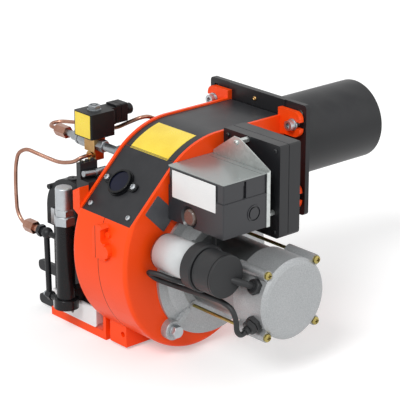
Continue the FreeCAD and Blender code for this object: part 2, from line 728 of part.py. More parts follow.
def make_nozzle():
    base = HEAD_PLACE - 30
    holder = hexagon((0, base, 0), (0, 1, 0), NOZZLE_FLATS + 3, 12)
    body = hexagon((0, base + 12, 0), (0, 1, 0), NOZZLE_FLATS, 9)
    tip = Part.makeCone(NOZZLE_FLATS / 2 - 1, 3, 7, V(0, base + 21, 0), V(0, 1, 0))
    orifice = rod((0, base + 18, 0), (0, 1, 0), 1.2, 12)
    return [holder, fuse([body, tip]).cut(orifice)]


def make_head_disc():
    """Flame holder: a dished disc with a ring of slots, each under a bent vane."""
    disc = ring((0, HEAD_PLACE, 0), (0, 1, 0), HEAD_DIAMETER, 24, HEAD_THICK)
    lip = ring((0, HEAD_PLACE, 0), (0, 1, 0), HEAD_DIAMETER, HEAD_DIAMETER - 2 * HEAD_THICK, 12)
    slots = []
    vanes = []
    for k in range(HEAD_SLOTS):
        turn = 360 * k / HEAD_SLOTS
        slot = box(20, HEAD_DIAMETER / 2 - 8, HEAD_PLACE - 1, HEAD_PLACE + HEAD_THICK + 1, -3.4, 3.4)
        slot.rotate(V(0, 0, 0), V(0, 1, 0), turn)
        slots.append(slot)
        vane = box(20, HEAD_DIAMETER / 2 - 8, HEAD_PLACE, HEAD_PLACE + 1.2, 0, 8)
        vane.rotate(V(0, HEAD_PLACE, 3.4), V(1, 0, 0), 35)
        vane.translate(V(0, 0.9, 0))
        vane.rotate(V(0, 0, 0), V(0, 1, 0), turn)
        vanes.append(vane)
    return fuse([disc, lip]).cut(fuse(slots)).fuse(vanes).removeSplitter()


def make_head_carrier():
    """Clamp on the nozzle line with three arms to the head and to the tube's wall."""
    place = HEAD_PLACE - 24
    hub = ring((0, place, 0), (0, 1, 0), 34, 22.3, 10)
    inner = TUBE_OUTER / 2 - TUBE_WALL - 0.4
    arms = []
    for k in range(3):
        arm = box(15, inner, place, place + 10, -1.5, 1.5)
        post = box(HEAD_DIAMETER / 2 - 6, HEAD_DIAMETER / 2 - 3, place + 10, HEAD_PLACE, -1.5, 1.5)
        for piece in (arm, post):
            piece.rotate(V(0, 0, 0), V(0, 1, 0), 90 + 120 * k)
            arms.append(piece)
    round_tube = rod((0, place, 0), (0, 1, 0), 2 * inner, 40)
    return fuse([hub] + arms).common(round_tube)


def make_burner_head():
    return [make_head_disc(), make_head_carrier()]


def electrode_places():
    return [(side * ELECTRODE_OFFSET, 21.0) for side in (-1, 1)]


def make_electrodes():
    """Two porcelain insulators with their pins and the strap that holds them."""
    insulators = [rod((x, HEAD_PLACE - 95, z), (0, 1, 0), ELECTRODE_DIAMETER, 88).cut(
        rod((x, HEAD_PLACE - 95, z), (0, 1, 0), 2.6, 88)) for x, z in electrode_places()]

    pins = [fuse([rod((x, HEAD_PLACE - 104, z), (0, 1, 0), 2.6, 101),
                  rod((x, HEAD_PLACE - 104, z), (0, -1, 0), 6, 8)]) for x, z in electrode_places()]
    place = HEAD_PLACE - 60
    bar = box(-ELECTRODE_OFFSET - 8, ELECTRODE_OFFSET + 8, place, place + 10, 15, 27)
    foot_block = box(-11, 11, place, place + 10, -11, 15)
    holes = [rod((x, place, z), (0, 1, 0), ELECTRODE_DIAMETER, 10) for x, z in electrode_places()]
    holes.append(rod((0, place, 0), (0, 1, 0), LINE_DIAMETER, 10))
    return insulators + pins + [fuse([bar, foot_block]).cut(holes)]


def make_fan_wheel():
    """Drum wheel with forward-curved blades between a back disc and a shroud ring."""
    outer = FAN_DIAMETER / 2
    inner = outer - BLADE_DEPTH
    front = FAN_BACK_X - FAN_WIDTH
    centre = V(front + 1, FAN_AXIS_Y + inner + 2, FAN_AXIS_Z - BLADE_CURVE)

    def camber(radius, degrees):
        turn = math.radians(degrees)
        return centre + V(0, radius * math.sin(turn), radius * math.cos(turn))

    blades = []
    thin, thick = BLADE_CURVE - BLADE_THICK / 2, BLADE_CURVE + BLADE_THICK / 2
    low, middle, high = -5, BLADE_SWEEP / 2, BLADE_SWEEP
    wire = Part.Wire([
        Part.Arc(camber(thin, low), camber(thin, middle), camber(thin, high)).toShape(),
        Part.LineSegment(camber(thin, high), camber(thick, high)).toShape(),
        Part.Arc(camber(thick, high), camber(thick, middle), camber(thick, low)).toShape(),
        Part.LineSegment(camber(thick, low), camber(thin, low)).toShape(),
    ])
    blade = Part.Face(wire).extrude(V(FAN_WIDTH - 2.5, 0, 0))
    for k in range(BLADE_COUNT):
        turned = blade.copy()
        turned.rotate(V(0, FAN_AXIS_Y, FAN_AXIS_Z), V(1, 0, 0), 360 * (k + 0.3) / BLADE_COUNT)
        blades.append(turned)
    hub_end = FAN_BACK_X - 32
    bore = SHAFT_DIAMETER / 2 + RUNNING_FIT
    disc = revolve_x([
        (FAN_BACK_X, bore), (FAN_BACK_X, outer), (FAN_BACK_X - 2, outer), (FAN_BACK_X - 2, 24),
        (FAN_BACK_X - 6, 16), (hub_end, 15), (hub_end, bore),
    ], FAN_AXIS_Y, FAN_AXIS_Z)
    shroud = revolve_x([(front, inner), (front, outer), (front + 3, outer), (front + 3, outer - 1.5),
                        (front + 1.5, outer - 1.5), (front + 1.5, inner)], FAN_AXIS_Y, FAN_AXIS_Z)
    return disc.multiFuse([shroud] + blades)


def make_inlet_bell():
    """Curved inlet ring between the intake wall and the wheel's shroud."""
    wall = -DUCT_HALF + SIDE_WALL
    mouth = INTAKE_OPENING / 2
    throat = FAN_DIAMETER / 2 - BLADE_DEPTH - 2
    tip = FAN_BACK_X - FAN_WIDTH + 4
    outline = [(wall, mouth + 8), (wall + 2, mouth + 8), (wall + 2, mouth), (wall + 8, throat + 3),
               (tip, throat), (tip, throat - 1.5), (wall + 7, throat + 1.5), (wall, mouth - 2)]
    return revolve_x(outline, FAN_AXIS_Y, FAN_AXIS_Z)


def make_motor_shaft():
    start = -28
    shaft = rod((start, FAN_AXIS_Y, FAN_AXIS_Z), (1, 0, 0), SHAFT_DIAMETER, MOTOR_END - 9 - start)
    half = SHAFT_DIAMETER / 2 + 0.5
    top = FAN_AXIS_Z + half
    flat = box(start, start + 14, FAN_AXIS_Y - half, FAN_AXIS_Y + half, top - 1.5, top)
    return shaft.cut(flat)


def tie_places():
    return [polar(TIE_CIRCLE / 2, 45 + 90 * k) for k in range(4)]


def motor_bolt_places():
    return [polar(LUG_CIRCLE / 2, angle) for angle in LUG_ANGLES]


def make_motor_flange():
    """Cast disc with spigot, cone, bearing seat, two bolt lugs and four tie-rod bosses."""
    wall = DUCT_HALF
    disc_out = wall + MOTOR_FLANGE_THICK
    stator = STATOR_DIAMETER / 2
    spigot = MOTOR_OPENING / 2 - 0.3
    seat = BEARING_OUTER / 2
    bore = SHAFT_DIAMETER / 2 + 1
    outline = [
        (wall - 6, spigot - 5), (wall - 6, spigot), (wall, spigot), (wall, MOTOR_FLANGE_DIAMETER / 2),
        (disc_out, MOTOR_FLANGE_DIAMETER / 2), (disc_out + 1.5, MOTOR_FLANGE_DIAMETER / 2 - 15),
        (STATOR_START + 2, stator + 12), (STATOR_START + 2, stator), (STATOR_START - 5, stator),
        (STATOR_START - 5, seat + 6), (STATOR_START + 5, seat + 6), (STATOR_START + 5, seat),
        (STATOR_START - 6, seat), (STATOR_START - 6, bore), (STATOR_START - 9, bore),
        (STATOR_START - 9, stator), (wall, stator + 10), (wall, spigot - 5),
    ]
    body = revolve_x(outline, FAN_AXIS_Y, FAN_AXIS_Z)
    extras = []
    for angle in LUG_ANGLES:
        y, z = polar(LUG_CIRCLE / 2, angle)
        boss = rod((wall, y, z), (1, 0, 0), LUG_BOSS, LUG_RISE)
        extras.append(rounded(boss, 2, lambda e: abs(e.CenterOfMass.x - wall - LUG_RISE) < 0.01))
        length = LUG_CIRCLE / 2 - LUG_BOSS / 2 - stator
        rib = slab_x([(0, -4), (length, -4), (length, 4), (0, 4)], disc_out - 1, STATOR_START + 1)
        rib.rotate(V(0, 0, 0), V(1, 0, 0), angle)
        near_y, near_z = polar(stator + 2, angle)
        rib.translate(V(0, near_y, near_z))
        extras.append(rib)
    for y, z in tie_places():
        extras.append(rod((disc_out, y, z), (1, 0, 0), TIE_LUG, STATOR_START + 4 - disc_out))
    bores = [rod((wall, y, z), (1, 0, 0), BOLT_DIAMETER + 0.5, 20) for y, z in motor_bolt_places()]
    for y, z in tie_places():
        bores.append(rod((disc_out + 3, y, z), (1, 0, 0), TIE_DIAMETER, 20))
    stator_space = rod((STATOR_START - 5, FAN_AXIS_Y, FAN_AXIS_Z), (1, 0, 0), STATOR_DIAMETER, 30)
    lugs = [extra.cut(stator_space) for extra in extras]
    reach = MOTOR_FLANGE_DIAMETER / 2 + 15
    above = box(wall, STATOR_START + 10, FAN_AXIS_Y - reach, FAN_AXIS_Y + reach,
                CONTROL_BOTTOM - 1, FAN_AXIS_Z + reach)
    return fuse([body] + lugs).cut(bores + [above])


def make_motor_bolts():
    """Hexagon bolts through the two lugs into the housing's bosses."""
    pieces = []
    seat = DUCT_HALF + LUG_RISE
    for y, z in motor_bolt_places():
        washer = ring((seat, y, z), (1, 0, 0), BOLT_HEAD + 4, BOLT_DIAMETER, 2)
        head = hexagon((seat + 2, y, z), (1, 0, 0), BOLT_HEAD, 7.5)
        cone = Part.makeCone(BOLT_HEAD / 2 + 4, BOLT_HEAD / 2, 7.5, V(seat + 2, y, z), V(1, 0, 0))
        head = head.common(cone)
        shank = rod((DUCT_HALF, y, z), (1, 0, 0), BOLT_DIAMETER, LUG_RISE + 4)
        pieces.append(fuse([washer, head, shank]))
    return pieces


def make_stator_tube():
    tube = ring((STATOR_START - 5, FAN_AXIS_Y, FAN_AXIS_Z), (1, 0, 0), STATOR_DIAMETER, STATOR_DIAMETER - 8,
                STATOR_END + 6 - STATOR_START + 5)
    return tube


def make_stator_core():
    outer = STATOR_DIAMETER - 8
    bore = ROTOR_DIAMETER + 2 * AIR_GAP
    core = ring((92, FAN_AXIS_Y, FAN_AXIS_Z), (1, 0, 0), outer, bore, 72)
    slots = []
    for k in range(24):
        y, z = polar(bore / 2 + 9, 15 * k)
        slots.append(rod((92, y, z), (1, 0, 0), 5, 72))
    coils = []
    for x in (81, 164.5):
        coil = revolve_x([(x, 36), (x, 47), (x + 3, 50), (x + 8, 50), (x + 10.5, 47), (x + 10.5, 36),
                          (x + 8, 34), (x + 3, 34)], FAN_AXIS_Y, FAN_AXIS_Z)
        coils.append(coil)
    return [core.cut(slots)] + coils


def make_rotor():
    core = ring((94, FAN_AXIS_Y, FAN_AXIS_Z), (1, 0, 0), ROTOR_DIAMETER, SHAFT_DIAMETER, 68)
    rings = [ring((x, FAN_AXIS_Y, FAN_AXIS_Z), (1, 0, 0), ROTOR_DIAMETER - 3, 36, 5) for x in (89, 162)]
    return fuse([core] + rings)


def make_bearings():
    bore = SHAFT_DIAMETER + 2 * RUNNING_FIT
    return [ring((x, FAN_AXIS_Y, FAN_AXIS_Z), (1, 0, 0), BEARING_OUTER, bore, BEARING_WIDTH)
            for x in (STATOR_START - 6, MOTOR_END - 9 - BEARING_WIDTH)]


def make_end_shield():
    """Cast end cap: domed cup with four tie-rod lugs, their webs and the rear bearing seat."""
    start = STATOR_END
    outer = SHIELD_DIAMETER / 2
    cup = revolve_x([
        (start, STATOR_DIAMETER / 2), (start, outer), (MOTOR_END - 5, outer), (MOTOR_END - 1.5, outer - 3.5),
        (MOTOR_END, outer - 9), (MOTOR_END, 0), (MOTOR_END - 5, 0), (MOTOR_END - 5, outer - 8),
        (MOTOR_END - 12, outer - 5), (start + 8, outer - 5), (start + 8, STATOR_DIAMETER / 2),
    ], FAN_AXIS_Y, FAN_AXIS_Z)
    seat = ring((MOTOR_END - 10 - BEARING_WIDTH, FAN_AXIS_Y, FAN_AXIS_Z), (1, 0, 0), BEARING_OUTER + 10,
                BEARING_OUTER, BEARING_WIDTH + 6)
    lugs = []
    for k, (y, z) in enumerate(tie_places()):
        lugs.append(rod((start, y, z), (1, 0, 0), TIE_LUG, MOTOR_END - 6 - start))
        web = box(start, MOTOR_END - 6, -TIE_LUG / 2, TIE_LUG / 2, outer - 4, TIE_CIRCLE / 2)
        web.rotate(V(0, 0, 0), V(1, 0, 0), 45 + 90 * k - 90)
        lugs.append(moved(web, 0, FAN_AXIS_Y, FAN_AXIS_Z))
    inside = rod((start, FAN_AXIS_Y, FAN_AXIS_Z), (1, 0, 0), SHIELD_DIAMETER - 10, MOTOR_END - 12 - start)
    ends = [rod((start, FAN_AXIS_Y, FAN_AXIS_Z), (1, 0, 0), STATOR_DIAMETER, 8)]
    body = fuse([cup] + [lug.cut(inside) for lug in lugs]).cut(ends)
    holes = [rod((start, y, z), (1, 0, 0), TIE_DIAMETER, MOTOR_END - start) for y, z in tie_places()]
    for angle, size in ((UPPER_GLAND_ANGLE, 13), (LOWER_GLAND_ANGLE, 12)):
        holes.append(rod((GLAND_X, *polar(30, angle)), tuple(gland_way(angle)), size, 50))
    return fuse([body, seat]).cut(holes)


def make_tie_rods():
    pieces = []
    start = DUCT_HALF + MOTOR_FLANGE_THICK + 3
    for y, z in tie_places():
        shank = rod((start, y, z), (1, 0, 0), TIE_DIAMETER, MOTOR_END - 6 - start)
        head = pan_screw(TIE_HEAD, 5)
        head.rotate(V(0, 0, 0), V(0, 1, 0), 90)
        pieces.append(fuse([shank, moved(head, MOTOR_END - 6, y, z)]))
    return pieces


def gland_way(angle):
    return V(0, math.cos(math.radians(angle)), math.sin(math.radians(angle)))


def make_upper_gland():
    """Black cable gland on the end shield for the capacitor's lead."""
    angle = UPPER_GLAND_ANGLE
    out = tuple(gland_way(angle))
    seat = SHIELD_DIAMETER / 2 - 1.5
    body = nut((GLAND_X, *polar(seat, angle)), out, GLAND_FLATS, 9)
    neck = rod((GLAND_X, *polar(seat - 6, angle)), out, 13, 18)
    shield = [rod((STATOR_END, FAN_AXIS_Y, FAN_AXIS_Z), (1, 0, 0), SHIELD_DIAMETER, 70)]
    shield += [rod((STATOR_END, y, z), (1, 0, 0), TIE_LUG, 70) for y, z in tie_places()]
    return fuse([body.cut(shield), neck])


def make_lower_gland():
    """Threaded gland with its hexagon nut for the motor lead."""
    angle = LOWER_GLAND_ANGLE
    out = gland_way(angle)
    seat = SHIELD_DIAMETER / 2 - 1.5
    base = hexagon((GLAND_X, *polar(seat, angle)), tuple(out), 22, 8)
    shield = rod((STATOR_END, FAN_AXIS_Y, FAN_AXIS_Z), (1, 0, 0), SHIELD_DIAMETER, 70)
    cap = nut((GLAND_X, *polar(seat + 9, angle)), tuple(out), 20, 8)
    neck = rod((GLAND_X, *polar(seat - 6, angle)), tuple(out), 12, 29)
    return fuse([base.cut(shield), neck, cap]).cut(
        rod((GLAND_X, *polar(seat + 10, angle)), tuple(out), LEAD_DIAMETER + 0.6, 30))


def make_capacitor_can():
    can = rod((CAN_START, CAPACITOR_Y, CAPACITOR_Z), (1, 0, 0), CAN_DIAMETER, COLLAR_START + 18 - CAN_START)
    can = rounded(can, 3, lambda e: abs(e.CenterOfMass.x - CAN_START) < 0.01)
    stud = rod((CAN_START - 3.5, CAPACITOR_Y, CAPACITOR_Z), (1, 0, 0), 12, 4)
    return fuse([can, stud])


def make_capacitor_boot():
    """Stepped rubber boot: collar, neck and end disc over the can's terminals."""
    can = CAN_DIAMETER / 2
    collar = COLLAR_DIAMETER / 2
    neck = NECK_DIAMETER / 2
    outline = [
        (COLLAR_START, can), (COLLAR_START, collar - 2), (COLLAR_START + 2, collar),
        (NECK_START - 3, collar), (NECK_START - 1, collar - 2), (NECK_START - 1, neck - 2),
        (NECK_START + 1, neck - 2), (NECK_START + 1, neck), (BOOT_END - 5, neck), (BOOT_END - 5, neck - 1),
        (BOOT_END - 4, neck - 1), (BOOT_END - 4, neck), (BOOT_END - 0.8, neck), (BOOT_END, neck - 0.8),
        (BOOT_END, 0), (COLLAR_START + 18, 0), (COLLAR_START + 18, can),
    ]
    return revolve_x(outline, CAPACITOR_Y, CAPACITOR_Z)


def make_capacitor_lead():
    """Sheathed lead from the boot's end to the upper gland."""
    angle = UPPER_GLAND_ANGLE
    start = SHIELD_DIAMETER / 2 + 10.5
    route = [
        (GLAND_X, *polar(start, angle)), (GLAND_X, *polar(start + 12, angle)),
        (BOOT_END, CAPACITOR_Y + 14, CAPACITOR_Z - 9), (BOOT_END - 12, CAPACITOR_Y + 6, CAPACITOR_Z - 6),
    ]
    lead = bent_tube(route, CAPACITOR_LEAD).cut(make_capacitor_boot())
    return [lead, make_upper_gland()]


def make_capacitor_clamp():
    """Saddle between the boot's collar and the stator tube, with its two screws."""
    run = V(0, FAN_AXIS_Y - CAPACITOR_Y, FAN_AXIS_Z - CAPACITOR_Z)
    turn = math.degrees(math.atan2(run.z, run.y))
    start, end = COLLAR_START + 3, NECK_START - 4
    block = box(start, end, COLLAR_DIAMETER / 2 - 6, run.Length - STATOR_DIAMETER / 2 + 4, -14, 14)
    block = rounded(block, 3, lambda e: runs_along(e, (0, 1, 0)))
    block.rotate(V(0, 0, 0), V(1, 0, 0), turn)
    block = moved(block, 0, CAPACITOR_Y, CAPACITOR_Z)
    collar = rod((COLLAR_START, CAPACITOR_Y, CAPACITOR_Z), (1, 0, 0), COLLAR_DIAMETER, 30)
    length = STATOR_END - STATOR_START
    stator = rod((STATOR_START, FAN_AXIS_Y, FAN_AXIS_Z), (1, 0, 0), STATOR_DIAMETER, length)
    return block.cut([collar, stator])


def make_transformer():
    """Moulded ignition transformer with a crowned lid edge and screw pockets."""
    front, back = TRANSFORMER_FRONT, TRANSFORMER_BACK
    case = box(DUCT_HALF, BOX_RIGHT, front, back, TRANSFORMER_BOTTOM, TRANSFORMER_TOP)
    case = rounded(case, 7, lambda e: runs_along(e, (0, 1, 0)) and e.CenterOfMass.z < 0)
    case = rounded(case, 3, lambda e: runs_along(e, (0, 1, 0)) and e.CenterOfMass.z > 0)
    middle = (DUCT_HALF + BOX_RIGHT) / 2
    low = TRANSFORMER_TOP + CROWN_RISE - CROWN_BOW
    crown = rod((middle, front, low), (0, 1, 0), 2 * CROWN_BOW, back - front)
    relief = box(DUCT_HALF, STATOR_START + 3, front, back, TRANSFORMER_BOTTOM, CONTROL_BOTTOM)
    case = case.common(crown).cut(relief)
    line = front + 17
    groove = box(DUCT_HALF - 1, BOX_RIGHT + 1, line, line + 1, TRANSFORMER_BOTTOM - 1, TRANSFORMER_TOP + 1)
    core = box(DUCT_HALF + 1, BOX_RIGHT - 0.8, front, back, TRANSFORMER_BOTTOM + 1, TRANSFORMER_TOP - 2)
    return [case.cut(groove.cut(core))] + make_transformer_screws()


def transformer_corners():
    left, right = DUCT_HALF + 10, BOX_RIGHT - 9
    low, high = TRANSFORMER_BOTTOM + 9, TRANSFORMER_TOP - 9
    return [(left, high), (right, low), (right, high)]


def make_transformer_screws():
    screw = pan_screw(7, 2.5)
    screw.rotate(V(0, 0, 0), V(1, 0, 0), 90)
    return [moved(screw, x, TRANSFORMER_FRONT, z) for x, z in transformer_corners()]


def make_bracket():
    """Zinc plate that carries the control box: a gable on top and a folded right edge."""
    back = BRACKET_FRONT + BRACKET_THICK
    left, right = DUCT_HALF + 1, BOX_RIGHT + BRACKET_THICK
    outline = [(left, CONTROL_BOTTOM), (right, CONTROL_BOTTOM), (right, CONTROL_TOP + 2),
               (GABLE_X + 6, GABLE_TOP), (GABLE_X - 6, GABLE_TOP), (left, CONTROL_TOP + 4)]
    plate = slab_y(outline, BRACKET_FRONT, back)
    edge = box(BOX_RIGHT, right, BRACKET_FRONT - 5, back, CONTROL_BOTTOM, CONTROL_TOP)
    return [fuse([plate, edge])] + make_standoffs()


def standoff_places():
    low = CONTROL_BOTTOM + 12
    return [(GABLE_X, GABLE_TOP - 8), (DUCT_HALF + 14, low), (BOX_RIGHT - 14, low)]


def make_standoffs():
    pieces = []
    back = BRACKET_FRONT + BRACKET_THICK
    for x, z in standoff_places():
        post = hexagon((x, back, z), (0, 1, 0), 8, TRANSFORMER_FRONT - back)
        head = pan_screw(8, 2.6)
        head.rotate(V(0, 0, 0), V(1, 0, 0), 90)
        pieces.append(post)
        if z > 0:
            pieces.append(moved(head, x, BRACKET_FRONT, z))
    return pieces


def make_control_base():
    """Terminal base of the control box, with the round knock-out on its side."""
    body = box(DUCT_HALF + 1, BOX_RIGHT, CONTROL_FRONT, BRACKET_FRONT, CONTROL_BOTTOM, CONTROL_SPLIT)
    body = rounded(body, 2, lambda e: runs_along(e, (0, 0, 1)) and e.CenterOfMass.y < CONTROL_FRONT + 1)
    knock = rod((BOX_RIGHT - 3, KNOCKOUT_Y, KNOCKOUT_Z), (1, 0, 0), KNOCKOUT_DIAMETER + 0.4, 4)
    centre = V(BUTTON_X, CONTROL_FRONT, BUTTON_Z)
    recess = rod(tuple(centre), (0, 1, 0), BUTTON_DIAMETER + 0.6, 16)
    rim = BUTTON_DIAMETER / 2
    bevel = Part.makeCone(rim + BUTTON_BEVEL, rim + 0.5, BUTTON_BEVEL, centre, V(0, 1, 0))
    return [body.cut([knock, recess, bevel]), make_knockout_plug()]


def make_control_cover():
    """Plug-on cover over the base, a little smaller, with its latch slot."""
    inset = 1.2
    top = CONTROL_TOP - LID_THICK
    left = DUCT_HALF + 1 + inset
    body = box(left, BOX_RIGHT - inset, CONTROL_FRONT + inset, BRACKET_FRONT, CONTROL_SPLIT, top)
    body = rounded(body, 2, lambda e: runs_along(e, (0, 0, 1)) and e.CenterOfMass.y < CONTROL_FRONT + 2)
    slot = box(BOX_RIGHT - 5, BOX_RIGHT + 1, LATCH_Y - 2, LATCH_Y + 2, CONTROL_SPLIT + 1, CONTROL_TOP - 4)
    lip = box(BOX_RIGHT - 3, BOX_RIGHT + 1, LATCH_Y - 5, LATCH_Y - 2, CONTROL_SPLIT + 1, CONTROL_SPLIT + 20)
    return body.cut([slot, lip])


def make_control_lid():
    """Smooth plate on top of the control box, with two grooves along its rear edge."""
    back = BRACKET_FRONT - 0.3
    top = box(DUCT_HALF + 1, BOX_RIGHT, CONTROL_FRONT, back, CONTROL_TOP - LID_THICK, CONTROL_TOP)
    top = rounded(top, 2, lambda e: runs_along(e, (0, 0, 1)) and e.CenterOfMass.y < CONTROL_FRONT + 1)
    grooves = [box(DUCT_HALF, BOX_RIGHT + 1, y, y + 1, CONTROL_TOP - 0.7, CONTROL_TOP + 1)
               for y in (BRACKET_FRONT - 4, BRACKET_FRONT - 14)]
    return top.cut(grooves)


def make_reset_button():
    """Domed push button; its rim stays behind the recess."""
    button = rod((BUTTON_X, CONTROL_FRONT - 1, BUTTON_Z), (0, 1, 0), BUTTON_DIAMETER, 12)
    return rounded(button, 3.5, lambda e: abs(e.CenterOfMass.y - (CONTROL_FRONT - 1)) < 0.01)


def make_knockout_plug():
    """Blind plug in the knock-out, dished on its outer side."""
    back = BOX_RIGHT - 3
    plug = rod((back, KNOCKOUT_Y, KNOCKOUT_Z), (1, 0, 0), KNOCKOUT_DIAMETER, 4)
    return plug.cut(ring((BOX_RIGHT - 1, KNOCKOUT_Y, KNOCKOUT_Z), (1, 0, 0), KNOCKOUT_DIAMETER - 3,
                         KNOCKOUT_DIAMETER - 8, 3))


def air_box_block(inset, corner):
    """The air box's outside drawn in by inset, with its long corners rounded."""
    block = box(AIR_BOX_LEFT + inset, -DUCT_HALF - inset, AIR_BOX_FRONT + inset, AIR_BOX_BACK - inset,
                AIR_BOX_BOTTOM + inset, AIR_BOX_TOP - inset)
    return rounded(block, corner, lambda e: runs_along(e, (1, 0, 0)))


def make_air_box():
    """Intake box on the left wall, open at the back where the damper hangs."""
    wall = AIR_BOX_WALL
    right = -DUCT_HALF
    passage = rod((right - wall - 1, FAN_AXIS_Y, FAN_AXIS_Z), (1, 0, 0), INTAKE_OPENING, wall + 2)
    window = box(AIR_BOX_LEFT + 8, right - 8, AIR_BOX_BACK - wall - 1, AIR_BOX_BACK + 1,
                 AIR_BOX_BOTTOM + 16, DAMPER_TOP + 5)
    pump_hole = rod((AIR_BOX_LEFT - 1, FAN_AXIS_Y, FAN_AXIS_Z), (1, 0, 0), 34, wall + 2)
    damper_y, damper_z = damper_axis()
    shaft = rod((AIR_BOX_LEFT - 1, damper_y, damper_z), (1, 0, 0), DAMPER_SHAFT + 2 * RUNNING_FIT, 80)
    return air_box_block(0, 14).cut([air_box_block(wall, 11), passage, window, pump_hole, shaft])


def damper_axis():
    return AIR_BOX_BACK - AIR_BOX_WALL - 3.6, DAMPER_TOP


def make_damper_flap():
    y, z = damper_axis()
    top = z - DAMPER_SHAFT / 2 + 0.5
    flap = box(AIR_BOX_LEFT + 5, -DUCT_HALF - 5, y - 1, y + 1, AIR_BOX_BOTTOM + 14, top)
    start = AIR_BOX_LEFT - 12
    shaft = rod((start, y, z), (1, 0, 0), DAMPER_SHAFT, -DUCT_HALF - AIR_BOX_WALL + 1.5 - start)
    return fuse([flap, shaft])


def make_damper_lever():
    y, z = damper_axis()
    x = AIR_BOX_LEFT - 9
    hub = rod((x, y, z), (1, 0, 0), 14, 8)
    arm = slab_x([(-5, -4), (36, -3), (36, 3), (-5, 4)], x, x + 3)
    arm.rotate(V(0, 0, 0), V(1, 0, 0), 40)
    tip_y, tip_z = polar(36, 40, y, z)
    knob = rod((x - 8, tip_y, tip_z), (1, 0, 0), 10, 11)
    return fuse([hub, moved(arm, 0, y, z), knob]).cut(rod((x, y, z), (1, 0, 0), DAMPER_SHAFT, 9))


def make_pump_coupling():
    """Plastic coupling from the motor shaft's flat to the pump shaft."""
    start = AIR_BOX_LEFT + 6
    end = -14
    sleeve = rod((start, FAN_AXIS_Y, FAN_AXIS_Z), (1, 0, 0), 18, end - start)
    ends = [rod((x, FAN_AXIS_Y, FAN_AXIS_Z), (1, 0, 0), 24, 14) for x in (start, end - 14)]
    motor_bore = rod((-28, FAN_AXIS_Y, FAN_AXIS_Z), (1, 0, 0), SHAFT_DIAMETER, 30)
    pump_bore = rod((start, FAN_AXIS_Y, FAN_AXIS_Z), (1, 0, 0), PUMP_SHAFT, 16)
    return fuse([sleeve] + ends).cut([motor_bore, pump_bore])


def gear_face(x, y, z, phase):
    """Twelve straight-sided involute teeth, short enough to run without undercut."""
    pitch = GEAR_MODULE * GEAR_TEETH / 2
    base = pitch * math.cos(math.radians(25))
    root = pitch - 1.15 * GEAR_MODULE
    tip = pitch + 0.85 * GEAR_MODULE
    involute_at_pitch = math.tan(math.radians(25)) - math.radians(25)
    half = math.pi / (2 * GEAR_TEETH) - 0.12 / pitch
    points = []
    for k in range(GEAR_TEETH):
        centre = phase + 2 * math.pi * k / GEAR_TEETH
        flank = []
        for radius in (root, base, pitch, tip):
            slope = math.acos(min(1.0, base / max(radius, base)))
            spread = half + involute_at_pitch - (math.tan(slope) - slope)
            flank.append((radius, spread))
        points += [polar(radius, math.degrees(centre - spread), y, z) for radius, spread in flank]
        points += [polar(radius, math.degrees(centre + spread), y, z) for radius, spread in flank[::-1]]
    corners = [V(x, *point) for point in points]
    return Part.Face(Part.makePolygon(corners + corners[:1]))


def gear_start():
    return PUMP_LEFT + 14


def make_pump_drive_gear():
    """Driving gear in one piece with the pump shaft."""
    x = gear_start()
    gear = gear_face(x, FAN_AXIS_Y, FAN_AXIS_Z, -math.pi / 2).extrude(V(GEAR_WIDTH, 0, 0))
    start = PUMP_LEFT + 8
    shaft = rod((start, FAN_AXIS_Y, FAN_AXIS_Z), (1, 0, 0), PUMP_SHAFT, AIR_BOX_LEFT + 20 - start)
    return fuse([gear, shaft])


def idler_z():
    return FAN_AXIS_Z - GEAR_MODULE * GEAR_TEETH


def make_pump_idler_gear():
    x = gear_start()
    phase = math.pi / 2 + math.pi / GEAR_TEETH
    gear = gear_face(x, FAN_AXIS_Y, idler_z(), phase).extrude(V(GEAR_WIDTH, 0, 0))
    shaft = rod((PUMP_LEFT + 8, FAN_AXIS_Y, idler_z()), (1, 0, 0), PUMP_SHAFT, 24)
    return fuse([gear, shaft])


def pump_block(left, right):
    """The pump's square outline with round corners, from one X to another."""
    middle = (FAN_AXIS_Z + idler_z()) / 2
    block = box(left, right, FAN_AXIS_Y - PUMP_HALF, FAN_AXIS_Y + PUMP_HALF,
                middle - PUMP_HALF, middle + PUMP_HALF)
    return rounded(block, 10, lambda e: runs_along(e, (1, 0, 0)))


def make_pump_body():
    """Pump casting with its gear chamber, shaft bores and two ports."""
    left = gear_start() - 0.2
    right = AIR_BOX_LEFT
    mid = (FAN_AXIS_Z + idler_z()) / 2
    body = pump_block(left, right - 4)
    flange = rod((right - 4, FAN_AXIS_Y, FAN_AXIS_Z), (1, 0, 0), 84, 4)
    spigot = rod((right, FAN_AXIS_Y, FAN_AXIS_Z), (1, 0, 0), 33.6, 3)
    ports = [rod((left + 14, FAN_AXIS_Y + way * PUMP_HALF, mid), (0, way, 0), 18, 10) for way in (-1, 1)]
    tip = GEAR_MODULE * GEAR_TEETH / 2 + 0.85 * GEAR_MODULE + 0.15
    chambers = [rod((left, FAN_AXIS_Y, z), (1, 0, 0), 2 * tip, GEAR_WIDTH + 0.4)
                for z in (FAN_AXIS_Z, idler_z())]
    bores = [rod((left, FAN_AXIS_Y, FAN_AXIS_Z), (1, 0, 0), PUMP_SHAFT + 2 * RUNNING_FIT, 80),
             rod((left, FAN_AXIS_Y, idler_z()), (1, 0, 0), PUMP_SHAFT + 2 * RUNNING_FIT, 22)]
    return fuse([body, flange, spigot] + ports).cut(chambers + bores)


def make_pump_cover():
    """Pump cover with the blind ends of both shaft bores and its four socket screws."""
    cover = pump_block(PUMP_LEFT, gear_start() - 0.2)
    cover = rounded(cover, 2, lambda e: abs(e.CenterOfMass.x - PUMP_LEFT) < 0.01)
    bores = [rod((PUMP_LEFT + 7.5, FAN_AXIS_Y, z), (1, 0, 0), PUMP_SHAFT + 2 * RUNNING_FIT, 10)
             for z in (FAN_AXIS_Z, idler_z())]
    return [cover.cut(bores)] + make_pump_screws()


